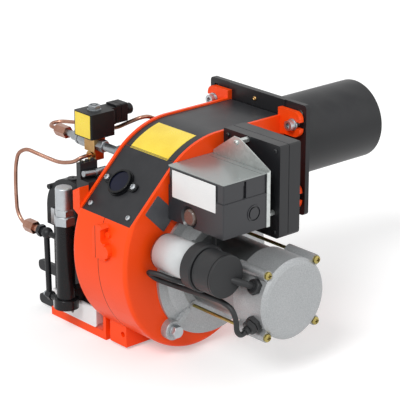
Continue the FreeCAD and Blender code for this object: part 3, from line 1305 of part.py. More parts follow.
def make_pump_screws():
    mid = (FAN_AXIS_Z + idler_z()) / 2
    pieces = []
    for side in (-1, 1):
        for level in (-1, 1):
            at = (PUMP_LEFT, FAN_AXIS_Y + side * (PUMP_HALF - 9), mid + level * (PUMP_HALF - 9))
            head = rod(at, (-1, 0, 0), 9, 5)
            socket = hexagon((PUMP_LEFT - 2.5, at[1], at[2]), (-1, 0, 0), 4, 3)
            pieces.append(head.cut(socket))
    return pieces


def make_side_bracket():
    """Galvanised plate on the foot, folded back along the housing wall."""
    right = -DUCT_HALF - 12.5
    plate = box(STAND_LEFT + 6, right, FOOT_FRONT, FOOT_FRONT + 3, FOOT_TOP, SHELF_TOP)
    plate = rounded(plate, 5, lambda e: (
        runs_along(e, (0, 1, 0)) and e.CenterOfMass.x > right - 1 and e.CenterOfMass.z < FOOT_TOP + 1))
    hole = rod((STAND_LEFT + 54, FOOT_FRONT, SHELF_TOP - 22), (0, 1, 0), 8, 3)
    tab = box(right - 3, right, FOOT_FRONT, FOOT_FRONT + 30, FOOT_TOP + 5, SHELF_TOP)
    return fuse([plate, tab]).cut(hole)


def make_heater_stand():
    """Black upright plate with two ears and a fold that meets the air box."""
    plate = box(STAND_LEFT, STAND_RIGHT, STAND_FRONT, STAND_BACK, FOOT_TOP, STAND_TOP)
    ears = []
    for low, high in ((-206, -189), (-262, -246)):
        ear = box(STAND_LEFT - 42, STAND_LEFT, STAND_FRONT, STAND_BACK, low, high)
        ears.append(rounded(ear, 7, lambda e: (
            runs_along(e, (0, 1, 0)) and e.CenterOfMass.x < STAND_LEFT - 40)))
    fold = box(STAND_RIGHT - 5, STAND_RIGHT, STAND_BACK, AIR_BOX_FRONT, AIR_BOX_BOTTOM + 20, STAND_TOP - 5)
    return fuse([plate, fold] + ears)


def make_heater_block():
    """Dark casting above the stand: arched top with a plug on its crown and a lifting pin."""
    depth = BLOCK_BACK - BLOCK_FRONT
    middle = (BLOCK_FRONT + BLOCK_BACK) / 2
    crown = rod((CROWN_X, BLOCK_FRONT, CROWN_Z), (0, 1, 0), 2 * CROWN_RADIUS, depth)
    sides = box(CROWN_X - CROWN_RADIUS, STAND_RIGHT, BLOCK_FRONT, BLOCK_BACK, STAND_TOP, CROWN_Z)
    right = box(STAND_RIGHT, 0, BLOCK_FRONT, BLOCK_BACK, STAND_TOP - 60, 0)
    body = fuse([crown.cut(box(-300, 0, BLOCK_FRONT, BLOCK_BACK, -300, CROWN_Z)), sides]).cut(right)
    top = CROWN_Z + CROWN_RADIUS
    plug = rod((CROWN_X, middle, top - 6), (0, 0, 1), depth - 1, 8)
    pin_z = CROWN_Z + CROWN_RADIUS * 0.6
    pin = rod((CROWN_X - CROWN_RADIUS * 0.84, BLOCK_FRONT - 3, pin_z), (0, 1, 0), 8, depth)
    hole = rod((CROWN_X, middle, top - 2), (0, 0, 1), 4, 6)
    return fuse([body, plug, pin]).cut(hole)


def heater_rod(z0, z1, diameter):
    return rod((HEATER_X, HEATER_Y, z0), (0, 0, 1), diameter, z1 - z0)


def make_heater_cap():
    """Bright sleeve of the oil heater over its two nuts, the strip beside it and the drain plug."""
    sleeve = heater_rod(SLEEVE_BOTTOM, CAP_TOP, SLEEVE_DIAMETER)
    sleeve = rounded(sleeve, 3, lambda e: abs(e.CenterOfMass.z - CAP_TOP) < 0.01)
    neck = heater_rod(LOCK_TOP, SLEEVE_BOTTOM, SLEEVE_FLATS - 2)
    upper = nut((HEATER_X, HEATER_Y, LOCK_TOP + 1), (0, 0, 1), SLEEVE_FLATS, SLEEVE_BOTTOM - LOCK_TOP - 1)
    lower = nut((HEATER_X, HEATER_Y, LOCK_BOTTOM), (0, 0, 1), LOCK_FLATS, LOCK_TOP - LOCK_BOTTOM)
    strip = box(STAND_LEFT + 12, STAND_LEFT + 21, BLOCK_FRONT - 2.5, BLOCK_FRONT, STAND_TOP + 3, -86)
    tip = rod((DRAIN_TIP - 5, UNION_Y, DRAIN_Z), (1, 0, 0), 8, 5)
    tip = rounded(tip, 2, lambda e: abs(e.CenterOfMass.x - DRAIN_TIP + 5) < 0.01)
    return [fuse([sleeve, neck, upper, lower]), strip, tip]


def make_heater_tube():
    """Black oil chamber on its round base, with the stub for the feed union."""
    chamber = heater_rod(BASE_TOP, LOCK_BOTTOM, HEATER_DIAMETER)
    base = heater_rod(SHELF_TOP - 6, BASE_TOP, HEATER_BASE)
    base = rounded(base, 2, lambda e: abs(e.CenterOfMass.z - BASE_TOP) < 0.01)
    stub = rod((UNION_X + 7, UNION_Y, UNION_Z), (1, 0, 0), 9, HEATER_X - UNION_X - 7)
    clips = [box(HEATER_X - 8, HEATER_X + 8, HEATER_Y, STAND_FRONT, z, z + 20) for z in (-160, BASE_TOP - 8)]
    return fuse([chamber, base, stub] + clips)


def make_feed_union():
    """Ball-shaped union block with its side nut, and the return rod down to the drain fitting."""
    ball = Part.makeSphere(9, V(UNION_X, UNION_Y, UNION_Z))
    ball = ball.cut(rod((UNION_X + 7, UNION_Y, UNION_Z), (1, 0, 0), 9.0, 5))
    side = rod((UNION_X - 11, UNION_Y, UNION_Z), (1, 0, 0), 12, 4)
    side_nut = nut((UNION_X - 11, UNION_Y, UNION_Z), (-1, 0, 0), 17, 8)
    foot = V(UNION_X + 1, UNION_Y, DRAIN_Z)
    run = foot - V(UNION_X - 2, UNION_Y, UNION_Z)
    tube = rod((UNION_X - 2, UNION_Y, UNION_Z), tuple(run), 9, run.Length)
    link = rod((DRAIN_TIP, UNION_Y, DRAIN_Z), (1, 0, 0), 10, HEATER_X - DRAIN_TIP)
    collar = nut((DRAIN_TIP + 14, UNION_Y, DRAIN_Z), (-1, 0, 0), 13, 8)
    link = link.cut(heater_rod(SHELF_TOP - 6, BASE_TOP, HEATER_BASE))
    return fuse([ball, side, side_nut, tube, link, collar])


def make_feed_pipe():
    """Copper pipe from the union to the valve's elbow, with its flare nut."""
    x, y, z = FEED_ROUTE[0]
    flare = nut((x + 15, y, z), (-1, 0, 0), 18, 22)
    nose = rod((x + 15, y, z), (1, 0, 0), 12, 10)
    flare = fuse([flare, nose]).cut(rod((x - 7, y, z), (1, 0, 0), PIPE_DIAMETER, 7))
    return [bent_tube(FEED_ROUTE, PIPE_DIAMETER), flare]


def make_nozzle_pipe():
    """Copper pipe from the valve's outlet round to the nozzle line, with its flare nut."""
    x, y, z = NOZZLE_ROUTE[0]
    flare = nut((x + FLARE_HALF, y, z), (-1, 0, 0), 17, 26)
    flare = flare.cut(rod((x - FLARE_HALF, y, z), (1, 0, 0), PIPE_DIAMETER, FLARE_HALF))
    return [bent_tube(NOZZLE_ROUTE, PIPE_DIAMETER), flare]


def make_motor_lead():
    return bent_tube(LEAD_ROUTE, LEAD_DIAMETER)


def make_junction_box():
    """Slim black terminal box between the heater and the housing."""
    front, back = TERMINAL_FRONT, TERMINAL_FRONT + 32
    right = TERMINAL_LEFT + 9.5
    column = box(TERMINAL_LEFT, right, front, back, EAR_BOTTOM, TERMINAL_TOP)
    block = box(right, -DUCT_HALF, front, back, EAR_BOTTOM, TERMINAL_TOP - 24)
    terminals = [rod((TERMINAL_LEFT + 5, front + 6 + 10 * k, TERMINAL_TOP), (0, 0, 1), 6, 3)
                 for k in range(3)]
    return fuse([column, block] + terminals)


def valve_block(width, depth, low, high):
    """A block centred on the valve's axis."""
    return box(VALVE_X - width / 2, VALVE_X + width / 2, VALVE_Y - depth / 2, VALVE_Y + depth / 2, low, high)


def make_coil():
    """Moulded solenoid coil round the guide tube."""
    body = valve_block(COIL_WIDTH, COIL_DEPTH, COIL_BOTTOM, COIL_TOP)
    body = rounded(body, 2.5, lambda e: runs_along(e, (0, 0, 1)))
    back = VALVE_Y + COIL_DEPTH / 2
    left = VALVE_X - PLUG_WIDTH / 2
    neck = box(left, left + PLUG_WIDTH, back, back + COIL_NECK, PLUG_BOTTOM, COIL_TOP)
    seal = box(left + 1, left + PLUG_WIDTH - 1, back, back + COIL_NECK + 1, PLUG_BOTTOM + 1, COIL_TOP - 1)
    bore = rod((VALVE_X, VALVE_Y, COIL_BOTTOM), (0, 0, 1), GUIDE_DIAMETER, COIL_TOP - COIL_BOTTOM)
    return fuse([body, neck, seal]).cut(bore)


def make_coil_connector():
    """Plug on the coil's back with its cable gland, no cable in it."""
    start = VALVE_Y + COIL_DEPTH / 2 + COIL_NECK + 1
    end = start + CONNECTOR_DEPTH
    left = VALVE_X - PLUG_WIDTH / 2
    top = COIL_TOP + 3
    middle = top - 14
    plug = box(left, left + PLUG_WIDTH, start, end, PLUG_BOTTOM, top)
    plug = rounded(plug, 2, lambda e: runs_along(e, (0, 1, 0)))
    groove = box(left - 1, left + PLUG_WIDTH + 1, start + 9, start + 10, PLUG_BOTTOM - 1, top + 1)
    core = box(left + 1, left + PLUG_WIDTH - 1, start, end, PLUG_BOTTOM + 1, top - 1)
    gland = hexagon((VALVE_X, end, middle), (0, 1, 0), 16, 6)
    cap = rod((VALVE_X, end + 6, middle), (0, 1, 0), 17, 9)
    cap = rounded(cap, 2, lambda e: abs(e.CenterOfMass.y - end - 15) < 0.01)
    mouth = rod((VALVE_X, end + 8, middle), (0, 1, 0), 9, 8)
    return fuse([plug.cut(groove.cut(core)), gland, cap]).cut(mouth)


def make_valve_body():
    """Brass body with the guide tube on top, side ports and the inlet elbow below."""
    body = valve_block(BODY_WIDTH, BODY_DEPTH, BODY_BOTTOM, COIL_BOTTOM)
    guide = rod((VALVE_X, VALVE_Y, COIL_BOTTOM), (0, 0, 1), GUIDE_DIAMETER - 0.2, COIL_TOP + 5 - COIL_BOTTOM)
    elbow = box(VALVE_X - 9, VALVE_X + 9, VALVE_Y - 6, VALVE_Y + 10, BODY_BOTTOM - 14, BODY_BOTTOM)
    knee = rod((VALVE_X - 1.5, VALVE_Y + 2, BODY_BOTTOM - 7), (0, -1, 0), 14, 12)
    bore = rod((VALVE_X, VALVE_Y, COIL_BOTTOM - 6), (0, 0, 1), PLUNGER_DIAMETER + 0.2,
               COIL_TOP - COIL_BOTTOM + PLUNGER_TRAVEL + 0.5)
    socket = rod((VALVE_X - 1.5, VALVE_Y - 10, BODY_BOTTOM - 7), (0, 1, 0), PIPE_DIAMETER, 6)
    return fuse([body, guide, elbow, knee]).cut([bore, socket])


def make_valve_plunger():
    return rod((VALVE_X, VALVE_Y, COIL_BOTTOM - 6), (0, 0, 1), PLUNGER_DIAMETER, COIL_TOP - COIL_BOTTOM)


def make_valve_nut():
    """Flanged nut that keeps the coil on its guide tube, with the stem's end in it."""
    washer = rod((VALVE_X, VALVE_Y, COIL_TOP), (0, 0, 1), 21, 1.5)
    crown = nut((VALVE_X, VALVE_Y, COIL_TOP + 1.5), (0, 0, 1), 17, 6.5)
    dish = ring((VALVE_X, VALVE_Y, COIL_TOP + 6.5), (0, 0, 1), 12, 6, 2)
    bore = rod((VALVE_X, VALVE_Y, COIL_TOP), (0, 0, 1), GUIDE_DIAMETER - 0.2, 5)
    return fuse([washer, crown]).cut([bore, dish])


def make_valve_fittings():
    """Plated adapters: the outlet on the left and the nipple into the housing wall."""
    left = VALVE_X - BODY_WIDTH / 2
    right = VALVE_X + BODY_WIDTH / 2
    end = OUTLET_START + FLARE_HALF
    adapter = fuse([nut((left, VALVE_Y, PORT_Z), (-1, 0, 0), 19, 20),
                    rod((left - 24, VALVE_Y, PORT_Z), (1, 0, 0), 21, 4),
                    rod((left - 38, VALVE_Y, PORT_Z), (1, 0, 0), 15, 20),
                    rod((end, VALVE_Y, PORT_Z), (1, 0, 0), 10, left - 36 - end)])
    adapter = adapter.cut(rod((end, VALVE_Y, PORT_Z), (1, 0, 0), PIPE_DIAMETER, 20))
    nipple = fuse([nut((right, VALVE_Y, PORT_Z), (1, 0, 0), 17, 14),
                   rod((right, VALVE_Y, PORT_Z), (1, 0, 0), 13, -DUCT_HALF - right),
                   rod((-DUCT_HALF - 8, VALVE_Y, PORT_Z), (1, 0, 0), 20, 8)])
    return [adapter, nipple, make_valve_nut(), make_drain_cock()]


def make_drain_cock():
    """Bright stub from the housing wall, turned forwards beside the terminal box."""
    wall = -DUCT_HALF
    x = wall - 12.5
    tail = rod((wall, COCK_Y, COCK_Z), (-1, 0, 0), 12, 6)
    body = rod((x, COCK_Y + 4, COCK_Z), (0, -1, 0), 12, 20)
    stub = rod((x, COCK_Y - 16, COCK_Z), (0, -1, 0.12), 9, 22)
    link = rod((wall - 4, COCK_Y, COCK_Z), (-1, 0, 0), 9, 8)
    return fuse([tail, link, body, stub])


def group(shapes):
    return Part.makeCompound(shapes)


def write(name, shape):
    if isinstance(shape, list):
        shape = group(shape)
    shape.exportStep(os.path.join("parts", name + ".step"))
    b = shape.BoundBox
    edges = [round(v, 1) for v in (b.XMin, b.XMax, b.YMin, b.YMax, b.ZMin, b.ZMax)]
    state = f"solids {len(shape.Solids)} valid {shape.isValid()} volume {shape.Volume / 1000:9.2f} cm3"
    print(f"{name:22s} {state}", edges)


PIECES = {
    "flange_studs": make_flange_studs,
    "sight_glass_ring": make_sight_glass_ring,
    "sight_glass": make_sight_glass,
    "cover_screws": make_cover_screws,
    "nozzle_line": make_nozzle_line,
    "burner_head": make_burner_head,
    "electrodes": make_electrodes,
    "fan_wheel": make_fan_wheel,
    "inlet_bell": make_inlet_bell,
    "motor_shaft": make_motor_shaft,
    "motor_flange": make_motor_flange,
    "motor_bolts": make_motor_bolts,
    "stator_tube": make_stator_tube,
    "stator_core": make_stator_core,
    "rotor": make_rotor,
    "bearings": make_bearings,
    "end_shield": make_end_shield,
    "tie_rods": make_tie_rods,
    "lower_gland": make_lower_gland,
    "capacitor_can": make_capacitor_can,
    "capacitor_boot": make_capacitor_boot,
    "capacitor_lead": make_capacitor_lead,
    "capacitor_clamp": make_capacitor_clamp,
    "transformer": make_transformer,
    "control_bracket": make_bracket,
    "control_base": make_control_base,
    "control_cover": make_control_cover,
    "control_lid": make_control_lid,
    "reset_button": make_reset_button,
    "air_box": make_air_box,
    "damper_flap": make_damper_flap,
    "damper_lever": make_damper_lever,
    "pump_coupling": make_pump_coupling,
    "pump_drive_gear": make_pump_drive_gear,
    "pump_idler_gear": make_pump_idler_gear,
    "pump_body": make_pump_body,
    "pump_cover": make_pump_cover,
    "side_bracket": make_side_bracket,
    "heater_stand": make_heater_stand,
    "heater_block": make_heater_block,
    "heater_cap": make_heater_cap,
    "heater_tube": make_heater_tube,
    "feed_union": make_feed_union,
    "feed_pipe": make_feed_pipe,
    "nozzle_pipe": make_nozzle_pipe,
    "motor_lead": make_motor_lead,
    "junction_box": make_junction_box,
    "solenoid_coil": make_coil,
    "coil_connector": make_coil_connector,
    "valve_body": make_valve_body,
    "valve_plunger": make_valve_plunger,
    "valve_fittings": make_valve_fittings,
}


def main():
    os.makedirs("parts", exist_ok=True)
    write("flange_gasket", make_flange_gasket())
    write("mounting_flange", make_mounting_flange())
    write("blast_tube", make_blast_tube())
    left, right = make_housing_halves()
    write("housing_left", left)
    write("housing_right", right)
    upper, lower = make_covers()
    write("top_cover", upper)
    write("front_cover", lower)
    for name, make in PIECES.items():
        write(name, make())


main()
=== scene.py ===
import math

import bpy
from bpy.props import FloatProperty, FloatVectorProperty, PointerProperty
from bpy.types import Operator, Panel, PropertyGroup
from mathutils import Matrix, Vector


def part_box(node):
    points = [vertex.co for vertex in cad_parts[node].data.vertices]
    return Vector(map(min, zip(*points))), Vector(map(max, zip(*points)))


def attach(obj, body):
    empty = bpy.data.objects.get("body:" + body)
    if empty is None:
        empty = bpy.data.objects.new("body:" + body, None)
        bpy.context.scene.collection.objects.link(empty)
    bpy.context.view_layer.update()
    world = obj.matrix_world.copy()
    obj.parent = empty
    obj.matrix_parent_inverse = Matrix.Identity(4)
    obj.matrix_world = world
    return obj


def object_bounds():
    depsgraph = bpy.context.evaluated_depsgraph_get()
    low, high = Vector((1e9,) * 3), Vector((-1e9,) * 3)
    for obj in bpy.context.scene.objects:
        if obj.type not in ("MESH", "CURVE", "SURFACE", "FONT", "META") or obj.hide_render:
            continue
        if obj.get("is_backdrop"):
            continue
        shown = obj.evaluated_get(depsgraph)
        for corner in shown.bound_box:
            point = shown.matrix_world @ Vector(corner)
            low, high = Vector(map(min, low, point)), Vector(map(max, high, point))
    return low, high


bl_info = {
    "name": "Oil burner dressing",
    "version": (1, 0, 0),
    "blender": (4, 5, 0),
    "location": "View3D > Sidebar > Burner",
    "description": "Finishes and small pieces of an oil burner with its fan motor and preheater",
    "category": "Object",
}

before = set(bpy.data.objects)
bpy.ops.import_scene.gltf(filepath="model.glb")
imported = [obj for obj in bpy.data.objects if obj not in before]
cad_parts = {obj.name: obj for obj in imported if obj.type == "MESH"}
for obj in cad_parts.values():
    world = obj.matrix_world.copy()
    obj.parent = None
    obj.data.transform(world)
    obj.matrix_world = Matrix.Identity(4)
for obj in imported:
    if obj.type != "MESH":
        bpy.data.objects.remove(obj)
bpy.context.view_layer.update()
MM = 0.001

TO_BACK = (0, 1, 0)
TO_LEFT = (-1, 0, 0)
UP = (0, 0, 1)
WHITE = (1, 1, 1, 1)

# shared effects
GRAIN_HEIGHT = 0.8          # share of the fine grain in the relief, the rest is the patches
EDGE_BEGINS = 0.985         # how well the rounded and the true normal agree where wear begins
EDGE_FULL = 0.9             # and where it is full
CHIP_SCALE = 160.0
DUST_SCALE = 38.0
SPANGLE_BEND_SCALE = 90.0
SPANGLE_BEND = 0.006
SPANGLE_DARKEST = 0.86
COAT_ROUGHNESS = 0.12
LINE_SHARE = 0.3
LINE_SHADE = 0.7
# darkness of the parting line, partly painted shade in the gap between the housing halves
PARTING_SHADE = 0.16

# added pieces
STICKER_GAP = 0.02 * MM
SLEEVE_GAP = 0.05 * MM
HEAD_STEPS = ((0.14, 1.0), (0.1, 0.86), (0.05, 0.7))    # rise by the diameter, and shrink
SLOT_INSET = 0.05
SLOT_DEPTH = 0.12
SLOT_NARROW = 0.3
SLOT_UP = (0.3, 0, 1)

# stage
FLOOR_GAP = 0.0005          # metres below the lowest point
FLOOR_COLOUR = (0.8, 0.8, 0.8, 1)
FLOOR_LIFT = 0.34
CAMERA_AZIMUTH = 48.7
CAMERA_ELEVATION = 19.9
CAMERA_PLACE = (2.0624, -1.9383, 0.9317)

# nodes whose finish differs from that of their slot
NODE_FINISHES = {
    "heater_tube": "gloss_black",
    "side_bracket": "bright_sheet",
    # the stator tube gets a darker copy of the motor alloy: painted shade from the control box
    # above it
    "stator_tube": "tube_alloy_painted_shade",
    "solenoid_coil": "coil_black",
    "coil_connector": "coil_black",
    "sight_glass_ring": "ring_black",
    # the control lid gets a pale finish that paints in the reflection of the white surround
    "control_lid": "lid",
    "control_base": "box_black",
    "control_cover": "box_black",
    "valve_fittings": "fitting_zinc",
}


def tint(text):
    """The scene colour of a screen colour written as six hex digits."""
    parts = [int(text[k:k + 2], 16) / 255 for k in (0, 2, 4)]
    return [((p + 0.055) / 1.055) ** 2.4 if p > 0.04045 else p / 12.92 for p in parts] + [1.0]


def colour_choice(label, text, hint):
    return FloatVectorProperty(name=label, description=hint, subtype="COLOR", size=4,
                               min=0, max=1, default=tint(text))


def length_choice(label, millimetres, hint):
    return FloatProperty(name=label, description=hint, unit="LENGTH", min=0,
                         default=millimetres * MM)


def strength_choice(label, strength, hint):
    return FloatProperty(name=label, description=hint, min=0, default=strength)


class BurnerPaints(PropertyGroup):
    housing: colour_choice("Housing", "FF4D10", "Powder coat of the air housing")
    satin: colour_choice("Tube and flange", "18191B", "Satin coat of the blast tube and its flange")
    covers: colour_choice("Covers", "242528", "Coat of the sheet covers")
    alloy: colour_choice("Motor casting", "B4B6B7", "Bare cast alloy of the fan motor")
    plastic: colour_choice("Plastic", "18191C", "Moulded plastic such as the transformer case")
    # pale grey that is a painted reflection: the white surround mirrored in a dark glossy lid
    lid: colour_choice("Control lid", "9EA3A2", "Polished lid of the control box")
    iron: colour_choice("Pump and heater", "222528", "Oil pump and preheater castings")
    copper: colour_choice("Copper", "B98F7D", "Fuel pipes")
    yellow: colour_choice("Yellow film", "F8DE3A", "Bare yellow stickers")
    paper: colour_choice("White film", "ECEDEC", "Bare white labels")


class BurnerSizes(PropertyGroup):
    film: length_choice("Film thickness", 0.25, "Thickness of stuck labels")
    sticker_width: length_choice("Sticker width", 84, "Yellow sticker across the top cover")
    sticker_depth: length_choice("Sticker depth", 56,
                                 "Yellow sticker from front to back, seen from above")
    screw_head: length_choice("Screw head", 7, "Small brass screw in the flange")
    plate_thick: length_choice("Plate thickness", 0.8, "Thickness of the screwed name plate")


class BurnerStage(PropertyGroup):
    sun: strength_choice("Key light", 1.55, "Strength of the key light")
    fill: strength_choice("Fill light", 0.5, "Strength of the fill light")
    sky: strength_choice("Surround", 0.62, "Strength of the even light all round")
    lens: FloatProperty(name="Lens", description="Focal length", unit="CAMERA", min=10,
                        default=174.6)
    floor_size: length_choice("Floor", 24000, "Width of the floor")


class Net:
    """Adds nodes to a tree and links what is handed in."""

    def __init__(self, tree):
        self.tree = tree

    def link(self, source, target):
        self.tree.links.new(source, target)

    def add(self, kind, inputs=(), **settings):
        made = self.tree.nodes.new(kind)
        for name, value in settings.items():
            setattr(made, name, value)
        for key, value in dict(inputs).items():
            if isinstance(value, bpy.types.NodeSocket):
                self.link(value, made.inputs[key])
            else:
                made.inputs[key].default_value = value
        return made

    def group(self, name, inputs):
        return self.add("ShaderNodeGroup", inputs, node_tree=bpy.data.node_groups[name])

    def calc(self, operation, first, second=0.0, third=0.0):
        made = self.add("ShaderNodeMath", {0: first, 1: second, 2: third}, operation=operation)
        return made.outputs[0]

    def ramp(self, value, low, high, to_low=0.0, to_high=1.0):
        made = self.add("ShaderNodeMapRange", {"Value": value, "From Min": low, "From Max": high,
                                               "To Min": to_low, "To Max": to_high})
        return made.outputs["Result"]

    def noise(self, place, scale, detail):
        return self.add("ShaderNodeTexNoise", {"Vector": place, "Scale": scale, "Detail": detail})

    def mix(self, share, first, second, blend="MIX"):
        made = self.add("ShaderNodeMix", {0: share, 6: first, 7: second},
                        data_type="RGBA", blend_type=blend)
        return made.outputs[2]

    def object_place(self):
        return self.add("ShaderNodeTexCoord").outputs["Object"]

    def seen(self):
        """One for camera, mirror and glass rays, and nought for light that only falls."""
        path = self.add("ShaderNodeLightPath")
        mirrored = self.calc("MAXIMUM", path.outputs["Is Glossy Ray"],
                             path.outputs["Is Transmission Ray"])
        return self.calc("MAXIMUM", path.outputs["Is Camera Ray"], mirrored)


def new_group(name, takes, gives):
    """A shader node group with sockets given as (name, type, default)."""
    tree = bpy.data.node_groups.new(name, "ShaderNodeTree")
    for label, kind, default in takes:
        socket = tree.interface.new_socket(label, in_out="INPUT", socket_type="NodeSocket" + kind)
        socket.default_value = default
    for label, kind in gives:
        tree.interface.new_socket(label, in_out="OUTPUT", socket_type="NodeSocket" + kind)
    net = Net(tree)
    return net, net.add("NodeGroupInput").outputs, net.add("NodeGroupOutput").inputs


def build_grain_group():
    """Mottled colour, uneven gloss and fine surface grain."""
    net, takes, gives = new_group(
        "Surface grain",
        [("Colour", "Color", (0.5, 0.5, 0.5, 1)), ("Second", "Color", (0.4, 0.4, 0.4, 1)),
         ("Patch scale", "Float", 20.0), ("Grain scale", "Float", 800.0),
         ("Fine share", "Float", 0.35), ("Gloss low", "Float", 0.3), ("Gloss high", "Float", 0.5)],
        [("Colour", "Color"), ("Roughness", "Float"), ("Height", "Float")])
    place = net.object_place()
    patch = net.noise(place, takes["Patch scale"], 4.0)
    grain = net.noise(place, takes["Grain scale"], 3.0)
    share = net.ramp(patch.outputs[0], 0.32, 0.68)
    fine = net.ramp(grain.outputs[0], 0.3, 0.7)
    weight = takes["Fine share"]
    broad = net.calc("MULTIPLY", share, net.calc("SUBTRACT", 1.0, weight))
    blend = net.calc("MULTIPLY_ADD", fine, weight, broad)
    gloss = net.add("ShaderNodeMix", {0: blend, 2: takes["Gloss low"], 3: takes["Gloss high"]})
    swell = net.calc("MULTIPLY", share, 1.0 - GRAIN_HEIGHT)
    height = net.calc("MULTIPLY_ADD", grain.outputs[0], GRAIN_HEIGHT, swell)
    net.link(net.mix(blend, takes["Colour"], takes["Second"]), gives["Colour"])
    net.link(gloss.outputs[0], gives["Roughness"])
    net.link(height, gives["Height"])


def build_wear_group():
    """Lighter or bare colour along worn edges, broken up by noise."""
    net, takes, gives = new_group(
        "Edge wear",
        [("Colour", "Color", (0.5, 0.5, 0.5, 1)), ("Bare", "Color", (0.7, 0.7, 0.7, 1)),
         ("Width", "Float", 0.001), ("Amount", "Float", 0.5)],
        [("Colour", "Color")])
    shape = net.add("ShaderNodeNewGeometry")
    soft = net.add("ShaderNodeBevel", {"Radius": takes["Width"]}, samples=4)
    agree = net.add("ShaderNodeVectorMath", {0: soft.outputs[0], 1: shape.outputs["Normal"]},
                    operation="DOT_PRODUCT").outputs["Value"]
    edge = net.ramp(agree, EDGE_BEGINS, EDGE_FULL)
    chips = net.ramp(net.noise(net.object_place(), CHIP_SCALE, 5.0).outputs[0], 0.35, 0.65)
    mask = net.calc("MULTIPLY", net.calc("MULTIPLY", edge, chips), takes["Amount"])
    net.link(net.mix(mask, takes["Colour"], takes["Bare"]), gives["Colour"])


def build_dust_group():
    """A thin film of dust on the surfaces that face up."""
    net, takes, gives = new_group(
        "Settled dust",
        [("Colour", "Color", (0.5, 0.5, 0.5, 1)), ("Dust", "Color", (0.6, 0.58, 0.55, 1)),
         ("Amount", "Float", 0.1)],
        [("Colour", "Color")])
    normal = net.add("ShaderNodeNewGeometry").outputs["Normal"]
    up = net.ramp(net.add("ShaderNodeSeparateXYZ", {0: normal}).outputs["Z"], 0.2, 1.0)
    cloud = net.ramp(net.noise(net.object_place(), DUST_SCALE, 5.0).outputs[0], 0.35, 0.7)
    mask = net.calc("MULTIPLY", net.calc("MULTIPLY", up, cloud), takes["Amount"])
    net.link(net.mix(mask, takes["Colour"], takes["Dust"]), gives["Colour"])


def build_lines_group():
    """Fine parallel marks left by rolling, drawing or turning."""
    net, takes, gives = new_group(
        "Drawn lines",
        [("Along", "Vector", (1.0, 1.0, 0.05)), ("Scale", "Float", 1500.0)],
        [("Height", "Float"), ("Share", "Float")])
    stretched = net.add("ShaderNodeVectorMath", {0: net.object_place(), 1: takes["Along"]},
                        operation="MULTIPLY").outputs[0]
    lines = net.noise(stretched, takes["Scale"], 2.0)
    net.link(lines.outputs[0], gives["Height"])
    net.link(net.ramp(lines.outputs[0], 0.35, 0.65), gives["Share"])


def build_spangle_group():
    """Flat crystals of hot-dipped zinc, each a little lighter or darker."""
    net, takes, gives = new_group(
        "Zinc spangle", [("Colour", "Color", (0.6, 0.6, 0.6, 1)), ("Scale", "Float", 220.0)],
        [("Colour", "Color")])
    place = net.object_place()
    bend = net.noise(place, SPANGLE_BEND_SCALE, 2.0).outputs["Color"]
    moved = net.add("ShaderNodeVectorMath", {0: bend, 1: (SPANGLE_BEND,) * 3, 2: place},
                    operation="MULTIPLY_ADD").outputs[0]
    cells = net.add("ShaderNodeTexVoronoi", {"Vector": moved, "Scale": takes["Scale"]})
    tone = net.add("ShaderNodeSeparateColor", {0: cells.outputs["Color"]}).outputs[0]
    light = net.ramp(tone, 0.0, 1.0, SPANGLE_DARKEST, 1.0)
    grey = net.add("ShaderNodeCombineColor", {0: light, 1: light, 2: light}).outputs[0]
    net.link(net.mix(1.0, takes["Colour"], grey, "MULTIPLY"), gives["Colour"])


def build_parting_group():
    """Dark line where the two housing halves meet on X = 0: partly the paint-starved joint, partly
    painted shade in the gap.
    """
    net, takes, gives = new_group(
        "Parting line and gap shade",
        [("Colour", "Color", (0.5, 0.5, 0.5, 1)), ("Dark", "Color", (0.1, 0.02, 0.01, 1)),
         ("Half width", "Float", 0.0005)],
        [("Colour", "Color")])
    side = net.add("ShaderNodeSeparateXYZ", {0: net.object_place()}).outputs["X"]
    core = net.calc("MULTIPLY", takes["Half width"], 0.5)
    near = net.ramp(net.calc("ABSOLUTE", side), core, takes["Half width"], 1.0, 0.0)
    net.link(net.mix(near, takes["Colour"], takes["Dark"]), gives["Colour"])


def shade(colour, factor):
    return [min(1.0, part * factor) for part in colour[:3]] + [1.0]


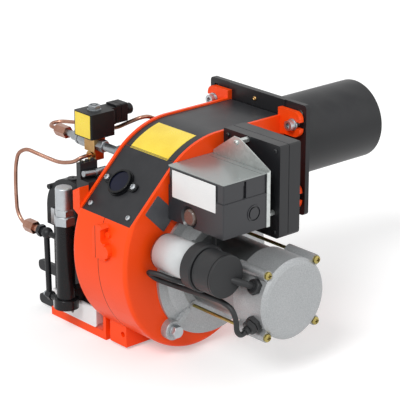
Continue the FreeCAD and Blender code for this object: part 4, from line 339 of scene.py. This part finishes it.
def finish(name, colour, second, patches, grain, gloss, bump, metal=0.0, wear=None,
           wear_width=0.8, wear_amount=0.5, dust=0.12, coat=0.0, lines=None, spangle=0.0,
           mirror=0.5, fine=0.35, parting=0.0):
    """A material from the shared effects; bump, wear_width and parting are in millimetres."""
    material = bpy.data.materials.new(name)
    material.use_nodes = True
    net = Net(material.node_tree)
    net.tree.nodes.clear()
    surface = net.add("ShaderNodeBsdfPrincipled", {
        "Metallic": metal, "Coat Weight": coat, "Coat Roughness": COAT_ROUGHNESS,
        "Specular IOR Level": mirror})
    body = net.group("Surface grain", {
        "Colour": colour, "Second": second, "Patch scale": patches, "Grain scale": grain,
        "Fine share": fine, "Gloss low": gloss[0], "Gloss high": gloss[1]})
    look = body.outputs["Colour"]
    height = body.outputs["Height"]
    if spangle:
        look = net.group("Zinc spangle", {"Colour": look, "Scale": spangle}).outputs["Colour"]
    if lines:
        drawn = net.group("Drawn lines", {"Along": lines})
        share = net.calc("MULTIPLY", drawn.outputs["Share"], LINE_SHARE)
        look = net.mix(share, look, shade(colour, LINE_SHADE))
        height = drawn.outputs["Height"]
    if wear:
        look = net.group("Edge wear", {"Colour": look, "Bare": wear, "Width": wear_width * MM,
                                       "Amount": wear_amount}).outputs["Colour"]
    if dust:
        look = net.group("Settled dust", {"Colour": look, "Amount": dust}).outputs["Colour"]
    # dark line on the joint: the paint-starved joint together with painted shade in the gap
    if parting:
        look = net.group("Parting line and gap shade", {"Colour": look, "Dark": shade(colour, PARTING_SHADE),
                                          "Half width": parting * MM}).outputs["Colour"]
    relief = net.add("ShaderNodeBump", {"Strength": 1.0, "Distance": bump * MM, "Height": height})
    out = net.add("ShaderNodeOutputMaterial")
    net.link(look, surface.inputs["Base Color"])
    net.link(body.outputs["Roughness"], surface.inputs["Roughness"])
    net.link(relief.outputs[0], surface.inputs["Normal"])
    net.link(surface.outputs[0], out.inputs["Surface"])
    return material


def build_finishes(paints):
    """One material for each slot of the record, and those of the added pieces."""
    return {
        "orange_paint": finish(
            "Orange powder coat", list(paints.housing), patches=9, grain=780, gloss=(0.3, 0.42),
            second=shade(list(paints.housing), 0.95), bump=0.11, wear=tint("FF8A5E"),
            wear_amount=0.15, dust=0.0, mirror=0.22, parting=0.75),
        "black_satin": finish(
            "Black satin coat", list(paints.satin), second=tint("1D1E21"), patches=7, grain=900,
            gloss=(0.36, 0.44), bump=0.02, wear=tint("4A4D51"), wear_amount=0.4, dust=0.02,
            mirror=0.32),
        "gloss_black": finish(
            "Black gloss coat", tint("121315"), second=tint("17181A"), patches=12, grain=900,
            gloss=(0.2, 0.3), bump=0.015, wear=tint("3C3F43"), wear_amount=0.4, dust=0.0,
            mirror=0.25),
        "cover_grey": finish(
            "Cover coat", list(paints.covers), second=tint("292A2D"), patches=6, grain=1200,
            gloss=(0.36, 0.44), bump=0.02, wear=tint("6E7074"), wear_amount=0.35, dust=0.02,
            mirror=0.28),
        "gasket": finish(
            "Fibre gasket", tint("6A6862"), second=tint("837F76"), patches=240, grain=1500,
            gloss=(0.8, 0.95), bump=0.08),
        "zinc_steel": finish(
            "Bright zinc", tint("C2C6C9"), second=tint("ABB0B4"), patches=60, grain=900,
            gloss=(0.34, 0.48), metal=1.0, bump=0.01, wear=tint("F2F3F4"), wear_width=0.4,
            dust=0.03),
        "fitting_zinc": finish(
            "Zinc fittings", tint("A6AAAD"), second=tint("8C9093"), patches=60, grain=900,
            gloss=(0.3, 0.44), metal=1.0, bump=0.01, wear=tint("EDEEEF"), wear_width=0.4,
            dust=0.03),
        "steel": finish(
            "Plain steel", tint("9EA1A4"), second=tint("86898C"), patches=50, grain=1200,
            gloss=(0.25, 0.4), metal=1.0, bump=0.01, lines=(1.0, 0.06, 0.06), dust=0.04),
        "black_plastic": finish(
            "Moulded black", list(paints.plastic), second=tint("1D1E21"), patches=14,
            grain=1400, gloss=(0.34, 0.46), bump=0.02, wear=tint("3C3E42"), wear_amount=0.5,
            dust=0.03, mirror=0.42),
        "box_black": finish(
            "Control box moulding", tint("26272B"), second=tint("2D2E32"), patches=14,
            grain=1400, gloss=(0.26, 0.36), bump=0.02, wear=tint("4A4C50"), wear_amount=0.5,
            dust=0.02, mirror=0.5),
        "coil_black": finish(
            "Coil moulding", tint("0E0F11"), second=tint("131416"), patches=20, grain=1500,
            gloss=(0.4, 0.55), bump=0.02, wear=tint("303236"), wear_amount=0.5, dust=0.02,
            mirror=0.25),
        "ring_black": finish(
            "Sight glass ring", tint("0D0E10"), second=tint("121315"), patches=30, grain=900,
            gloss=(0.14, 0.22), bump=0.01, dust=0.0, mirror=0.25),
        "dark_glass": finish(
            "Dark sight glass", tint("0C0E1E"), second=tint("12152C"), patches=30, grain=200,
            gloss=(0.06, 0.12), bump=0.0, dust=0.0, mirror=0.18),
        "brass": finish(
            "Brass", tint("C6A16C"), second=tint("A37F4E"), patches=70, grain=900,
            gloss=(0.24, 0.4), metal=1.0, bump=0.01, wear=tint("EBCB86"), wear_width=0.5,
            dust=0.03),
        "porcelain": finish(
            "Porcelain", tint("EFECE4"), second=tint("E4E0D5"), patches=30, grain=300,
            gloss=(0.15, 0.25), bump=0.01, coat=0.6),
        "cast_alloy": finish(
            "Cast alloy", list(paints.alloy), second=tint("9B9EA0"), patches=14, grain=620,
            gloss=(0.38, 0.52), metal=0.6, bump=0.13, wear=tint("CFD1D1"), wear_width=1.0,
            wear_amount=0.4, dust=0.0, fine=0.85),
        # darker copy of the motor alloy: painted shade that the control box casts on the tube
        "tube_alloy_painted_shade": finish(
            "Stator tube in painted shade", tint("929596"), second=tint("828587"), patches=20, grain=680,
            gloss=(0.3, 0.42), metal=0.85, bump=0.07, wear=tint("CFD1D1"), wear_width=0.8,
            wear_amount=0.3, dust=0.0, fine=0.8),
        "yellow_zinc": finish(
            "Yellow chromate", tint("B5A868"), second=tint("98884C"), patches=120, grain=900,
            gloss=(0.25, 0.42), metal=1.0, bump=0.01, wear=tint("E9DFB4"), wear_width=0.4,
            dust=0.0),
        "black_rubber": finish(
            "Black rubber", tint("1D1E20"), second=tint("212224"), patches=18, grain=1500,
            gloss=(0.42, 0.56), bump=0.02, dust=0.02, mirror=0.42),
        "white_sleeve": finish(
            "Drawn alloy can", tint("A4A7A9"), second=tint("8E9193"), patches=40, grain=900,
            gloss=(0.22, 0.34), metal=1.0, bump=0.01, dust=0.02),
        "zinc_sheet": finish(
            "Hot-dip zinc sheet", tint("D3D7D5"), second=tint("C4C9C7"), patches=16, grain=900,
            gloss=(0.3, 0.42), metal=0.8, bump=0.01, spangle=190, wear=tint("EDEFEE"),
            wear_width=0.5, dust=0.03),
        # the button's brown is lifted towards its glass highlight: partly its own dark brown,
        # partly a painted highlight
        "red_lens": finish(
            "Reset button with painted highlight", tint("55433D"), second=tint("705F58"), patches=60, grain=500,
            gloss=(0.1, 0.16), bump=0.005, coat=0.3, dust=0.0),
        "bright_sheet": finish(
            "Coated sheet", tint("EDECEC"), second=tint("E2E1E2"), patches=16, grain=900,
            gloss=(0.3, 0.42), metal=0.3, bump=0.01, wear=tint("F0F1F1"), wear_width=0.5,
            dust=0.0),
        "dark_casting": finish(
            "Oiled casting", list(paints.iron), second=tint("232527"), patches=20, grain=520,
            gloss=(0.3, 0.48), metal=0.2, bump=0.12, wear=tint("6A6D70"), wear_width=0.9,
            wear_amount=0.5, dust=0.02, mirror=0.28),
        "copper": finish(
            "Copper pipe", list(paints.copper), second=tint("8F6554"), patches=46, grain=700,
            gloss=(0.22, 0.38), metal=1.0, bump=0.01, dust=0.0),
        # painted reflection: pale grey in place of the white surround mirrored in the dark glossy
        # lid
        "lid": finish(
            "Control lid", list(paints.lid), second=tint("939897"), patches=10, grain=1400,
            gloss=(0.2, 0.28), metal=0.55, bump=0.004, dust=0.0, wear=tint("D8DBDA"),
            wear_amount=0.4),
        "yellow_film": finish(
            "Yellow film", list(paints.yellow), second=tint("EDC91C"), patches=24, grain=500,
            gloss=(0.25, 0.36), bump=0.01, coat=0.3, dust=0.02),
        "paper_film": finish(
            "White film", list(paints.paper), second=tint("E4E5E5"), patches=24, grain=500,
            gloss=(0.3, 0.42), bump=0.01, coat=0.2, dust=0.02),
        "sleeve_film": finish(
            "Sleeve film", tint("D2D4D5"), second=tint("C6C9CA"), patches=24, grain=700,
            gloss=(0.4, 0.5), bump=0.01, dust=0.02, mirror=0.35),
        "name_plate": finish(
            "Name plate", tint("4E5054"), second=tint("5D5F63"), patches=20, grain=900,
            gloss=(0.25, 0.36), bump=0.06, coat=0.2, wear=tint("9A9DA0"), wear_width=0.5,
            lines=(1.0, 1.0, 0.05), dust=0.02),
    }


FINISHES = {}


def dress_node(name, finish_name):
    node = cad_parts[name]
    for place in node.material_slots:
        place.material = FINISHES[finish_name]


def deselect():
    bpy.ops.object.select_all(action="DESELECT")


def thicken(piece, thick):
    """A wall that grows outwards from the piece's surface."""
    wall = piece.modifiers.new("Thickness", "SOLIDIFY")
    wall.thickness = thick
    wall.offset = 1.0


def settle(piece, finish_name, body="burner"):
    """Puts the piece's place into its mesh, gives it its finish and lets it ride on its body."""
    deselect()
    piece.select_set(True)
    bpy.context.view_layer.objects.active = piece
    for modifier in list(piece.modifiers):
        bpy.ops.object.modifier_apply(modifier=modifier.name)
    bpy.ops.object.transform_apply(location=True, rotation=True, scale=True)
    piece.data.materials.clear()
    piece.data.materials.append(FINISHES[finish_name])
    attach(piece, body)
    return piece


def facing(at, normal, up):
    """The matrix that lays a piece's local Z on the normal and its local Y near up, at a point."""
    z = Vector(normal).normalized()
    x = Vector(up).cross(z).normalized()
    y = z.cross(x)
    turned = Matrix((x, y, z)).transposed().to_4x4()
    return Matrix.Translation(Vector(at)) @ turned


def surface_at(node, start, way):
    """Point and outward normal where a line from start first meets a CAD node."""
    found, place, normal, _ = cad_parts[node].ray_cast(
        Vector(start) * MM, Vector(way).normalized())
    if not found:
        raise RuntimeError("nothing of %s lies on the line from %s" % (node, start))
    return place, normal


def film(name, node, start, way, up, width, height, corner, thick, finish_name, slot, slide=0.0):
    """A thin plate with round corners laid on a flat face of a CAD node, slid along up."""
    place, normal = surface_at(node, start, way)
    place = place + Vector(up).normalized() * slide
    deselect()
    bpy.ops.mesh.primitive_plane_add(size=1)
    piece = bpy.context.object
    piece.name = name
    piece.scale = (width, height, 1)
    bpy.ops.object.transform_apply(location=False, rotation=False, scale=True)
    bpy.ops.object.mode_set(mode="EDIT")
    bpy.ops.mesh.select_all(action="SELECT")
    bpy.ops.mesh.bevel(offset=corner, segments=5, affect="VERTICES")
    bpy.ops.object.mode_set(mode="OBJECT")
    thicken(piece, thick)
    piece.matrix_world = facing(place, normal, up)
    return settle(piece, finish_name)


def top_sticker(name, nodes, middle, width, depth, lift, thick, finish_name):
    """A sticker that follows curved sheets, dropped on them from above and then thickened."""
    deselect()
    bpy.ops.mesh.primitive_grid_add(x_subdivisions=16, y_subdivisions=32, size=1,
                                    location=Vector((middle[0], middle[1], lift)) * MM)
    piece = bpy.context.object
    piece.name = name
    piece.scale = (width, depth, 1)
    bpy.ops.object.transform_apply(location=True, rotation=False, scale=True)
    for node in nodes:
        drop = piece.modifiers.new("Drop", "SHRINKWRAP")
        drop.wrap_method = "PROJECT"
        drop.use_project_z = True
        drop.use_negative_direction = True
        drop.use_positive_direction = False
        drop.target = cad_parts[node]
        drop.offset = STICKER_GAP
    thicken(piece, thick)
    return settle(piece, finish_name)


def sleeve(name, node, start, end, thick, finish_name):
    """A thin sleeve round a CAD node that lies along X, from one X to another."""
    low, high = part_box(node)
    middle = (Vector(low) + Vector(high)) / 2
    radius = (high[2] - low[2]) / 2 + SLEEVE_GAP
    deselect()
    bpy.ops.mesh.primitive_circle_add(vertices=128, radius=radius,
                                      location=(start * MM, middle.y, middle.z),
                                      rotation=(0, math.radians(90), 0))
    piece = bpy.context.object
    piece.name = name
    bpy.ops.object.mode_set(mode="EDIT")
    bpy.ops.mesh.select_all(action="SELECT")
    bpy.ops.mesh.extrude_region_move(
        TRANSFORM_OT_translate={"value": ((end - start) * MM, 0, 0)})
    bpy.ops.mesh.select_all(action="SELECT")
    bpy.ops.mesh.normals_make_consistent(inside=False)
    bpy.ops.object.mode_set(mode="OBJECT")
    bpy.ops.object.shade_smooth_by_angle(angle=math.radians(30))
    thicken(piece, thick)
    return settle(piece, finish_name)


def round_screw(name, node, start, way, diameter, finish_name):
    """A small screw with a domed head and a driver slot, standing on a flat face of a CAD node."""
    place, normal = surface_at(node, start, way)
    deselect()
    bpy.ops.mesh.primitive_circle_add(vertices=48, radius=diameter / 2, fill_type="NGON")
    piece = bpy.context.object
    piece.name = name
    bpy.ops.object.mode_set(mode="EDIT")
    bpy.ops.mesh.select_all(action="SELECT")
    for rise, shrink in HEAD_STEPS:
        bpy.ops.mesh.extrude_region_move(
            TRANSFORM_OT_translate={"value": (0, 0, rise * diameter)})
        bpy.ops.transform.resize(value=(shrink, shrink, 1))
    bpy.ops.mesh.inset(thickness=SLOT_INSET * diameter)
    bpy.ops.mesh.extrude_region_move(
        TRANSFORM_OT_translate={"value": (0, 0, -SLOT_DEPTH * diameter)})
    bpy.ops.transform.resize(value=(1.0, SLOT_NARROW, 1))
    bpy.ops.mesh.select_all(action="SELECT")
    bpy.ops.mesh.normals_make_consistent(inside=False)
    bpy.ops.object.mode_set(mode="OBJECT")
    bpy.ops.object.shade_smooth_by_angle(angle=math.radians(35))
    piece.matrix_world = facing(place, normal, SLOT_UP)
    return settle(piece, finish_name)


class BURNER_OT_finishes(Operator):
    """Build the finishes and give each CAD node its own"""
    bl_idname = "burner.finishes"
    bl_label = "Finishes"

    def execute(self, context):
        build_grain_group()
        build_wear_group()
        build_dust_group()
        build_lines_group()
        build_spangle_group()
        build_parting_group()
        FINISHES.update(build_finishes(context.scene.burner_paints))
        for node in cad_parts.values():
            for place in node.material_slots:
                place.material = FINISHES[place.material.name.split(".")[0]]
        for name, finish_name in NODE_FINISHES.items():
            dress_node(name, finish_name)
        return {"FINISHED"}


class BURNER_OT_labels(Operator):
    """Lay the bare stickers and plates on the covers, the control box and the coil"""
    bl_idname = "burner.labels"
    bl_label = "Labels"

    def execute(self, context):
        sizes = context.scene.burner_sizes
        thin = sizes.film
        top_sticker("top_sticker", ("top_cover", "front_cover"), middle=(-2, -197),
                    width=sizes.sticker_width, depth=sizes.sticker_depth, lift=140, thick=thin,
                    finish_name="yellow_film")
        film("label_pad", "control_cover", start=(118, -300, 18.5), way=TO_BACK, up=UP,
             width=96 * MM, height=24 * MM, corner=1 * MM, thick=1.15 * MM,
             finish_name="black_plastic", slot="black_plastic")
        film("control_label", "control_base", start=(118, -300, 3), way=TO_BACK, up=UP,
             width=93 * MM, height=41 * MM, corner=1 * MM, thick=thin,
             finish_name="paper_film", slot="black_plastic", slide=7.5 * MM)
        film("housing_plate", "housing_right", start=(100, -255.6, -35.6), way=TO_LEFT,
             up=(0, -0.705, 0.709), width=34 * MM, height=48 * MM, corner=2 * MM,
             thick=sizes.plate_thick, finish_name="name_plate", slot="orange_paint")
        film("coil_label", "solenoid_coil", start=(-126.5, -300, 51.5), way=TO_BACK, up=UP,
             width=36 * MM, height=36 * MM, corner=1 * MM, thick=thin,
             finish_name="yellow_film", slot="black_plastic")
        sleeve("capacitor_label", "capacitor_can", start=76, end=143.5, thick=thin,
               finish_name="sleeve_film")
        return {"FINISHED"}


class BURNER_OT_screws(Operator):
    """Set the small screw into the flange's upper edge"""
    bl_idname = "burner.screws"
    bl_label = "Screws"

    def execute(self, context):
        round_screw("flange_screw", "mounting_flange", start=(-3.8, -60, 73.7), way=TO_BACK,
                    diameter=context.scene.burner_sizes.screw_head,
                    finish_name="brass")
        return {"FINISHED"}


class BURNER_OT_stage(Operator):
    """Build the floor, the lights, the surround and the camera"""
    bl_idname = "burner.stage"
    bl_label = "Stage"

    def execute(self, context):
        stage = context.scene.burner_stage
        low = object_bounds()[0].z
        deselect()
        bpy.ops.mesh.primitive_plane_add(size=stage.floor_size, location=(0, 0, low - FLOOR_GAP))
        floor = bpy.context.object
        floor.name = "studio_floor"
        floor.data.materials.append(self.floor_finish())
        floor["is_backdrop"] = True
        self.surround(context, stage.sky)
        self.lamp("key_light", stage.sun, spread=22, turn=(48, 0, 22))
        self.lamp("fill_light", stage.fill, spread=60, turn=(62, 0, 118))
        self.camera(context, stage.lens)
        context.scene.view_settings.view_transform = "Standard"
        return {"FINISHED"}

    def lamp(self, name, power, spread, turn):
        """A soft sun; spread and turn are in degrees."""
        bpy.ops.object.light_add(type="SUN", rotation=[math.radians(t) for t in turn])
        lamp = bpy.context.object
        lamp.name = name
        lamp.data.energy = power
        lamp.data.angle = math.radians(spread)

    def camera(self, context, lens):
        """The camera at the photograph's viewing angle."""
        azimuth, elevation = math.radians(CAMERA_AZIMUTH), math.radians(CAMERA_ELEVATION)
        back = Vector((math.sin(azimuth) * math.cos(elevation),
                       -math.cos(azimuth) * math.cos(elevation), math.sin(elevation)))
        bpy.ops.object.camera_add(location=CAMERA_PLACE)
        camera = bpy.context.object
        camera.name = "studio_camera"
        camera.rotation_mode = "QUATERNION"
        camera.rotation_quaternion = (-back).to_track_quat("-Z", "Y")
        camera.data.lens = lens
        camera.data.sensor_width = 36
        camera.data.clip_end = 60
        context.scene.camera = camera

    def floor_finish(self):
        """Pale floor that looks white to the camera and keeps the shadow."""
        material = bpy.data.materials.new("Studio floor")
        material.use_nodes = True
        net = Net(material.node_tree)
        net.tree.nodes.clear()
        matt = net.add("ShaderNodeBsdfDiffuse", {"Color": FLOOR_COLOUR})
        lift = net.add("ShaderNodeEmission", {
            "Color": WHITE, "Strength": net.calc("MULTIPLY", net.seen(), FLOOR_LIFT)})
        both = net.add("ShaderNodeAddShader", {0: matt.outputs[0], 1: lift.outputs[0]})
        net.add("ShaderNodeOutputMaterial", {"Surface": both.outputs[0]})
        return material

    def surround(self, context, strength):
        """White where it is seen or mirrored, and a soft even light elsewhere."""
        world = bpy.data.worlds.new("Studio surround")
        context.scene.world = world
        world.use_nodes = True
        net = Net(world.node_tree)
        net.tree.nodes.clear()
        level = net.add("ShaderNodeMix", {0: net.seen(), 2: strength, 3: 1.0}).outputs[0]
        light = net.add("ShaderNodeBackground", {"Color": WHITE, "Strength": level})
        net.add("ShaderNodeOutputWorld", {"Surface": light.outputs[0]})


class BURNER_PT_panel(Panel):
    """Lists the steps that dress the burner"""
    bl_idname = "BURNER_PT_panel"
    bl_label = "Burner"
    bl_space_type = "VIEW_3D"
    bl_region_type = "UI"
    bl_category = "Burner"

    def draw(self, context):
        scene = context.scene
        for step in STEPS:
            self.layout.operator(step.bl_idname)
        for group in (scene.burner_paints, scene.burner_sizes, scene.burner_stage):
            for name in group.__annotations__:
                self.layout.prop(group, name)


STEPS = (BURNER_OT_stage, BURNER_OT_finishes, BURNER_OT_labels, BURNER_OT_screws)
CLASSES = (BurnerPaints, BurnerSizes, BurnerStage) + STEPS + (BURNER_PT_panel,)


def register():
    for made in CLASSES:
        bpy.utils.register_class(made)
    bpy.types.Scene.burner_paints = PointerProperty(type=BurnerPaints)
    bpy.types.Scene.burner_sizes = PointerProperty(type=BurnerSizes)
    bpy.types.Scene.burner_stage = PointerProperty(type=BurnerStage)


def unregister():
    del bpy.types.Scene.burner_stage
    del bpy.types.Scene.burner_sizes
    del bpy.types.Scene.burner_paints
    for made in reversed(CLASSES):
        bpy.utils.unregister_class(made)


def main():
    register()
    bpy.ops.burner.stage()
    bpy.ops.burner.finishes()
    bpy.ops.burner.labels()
    bpy.ops.burner.screws()


if __name__ == "__main__":
    main()
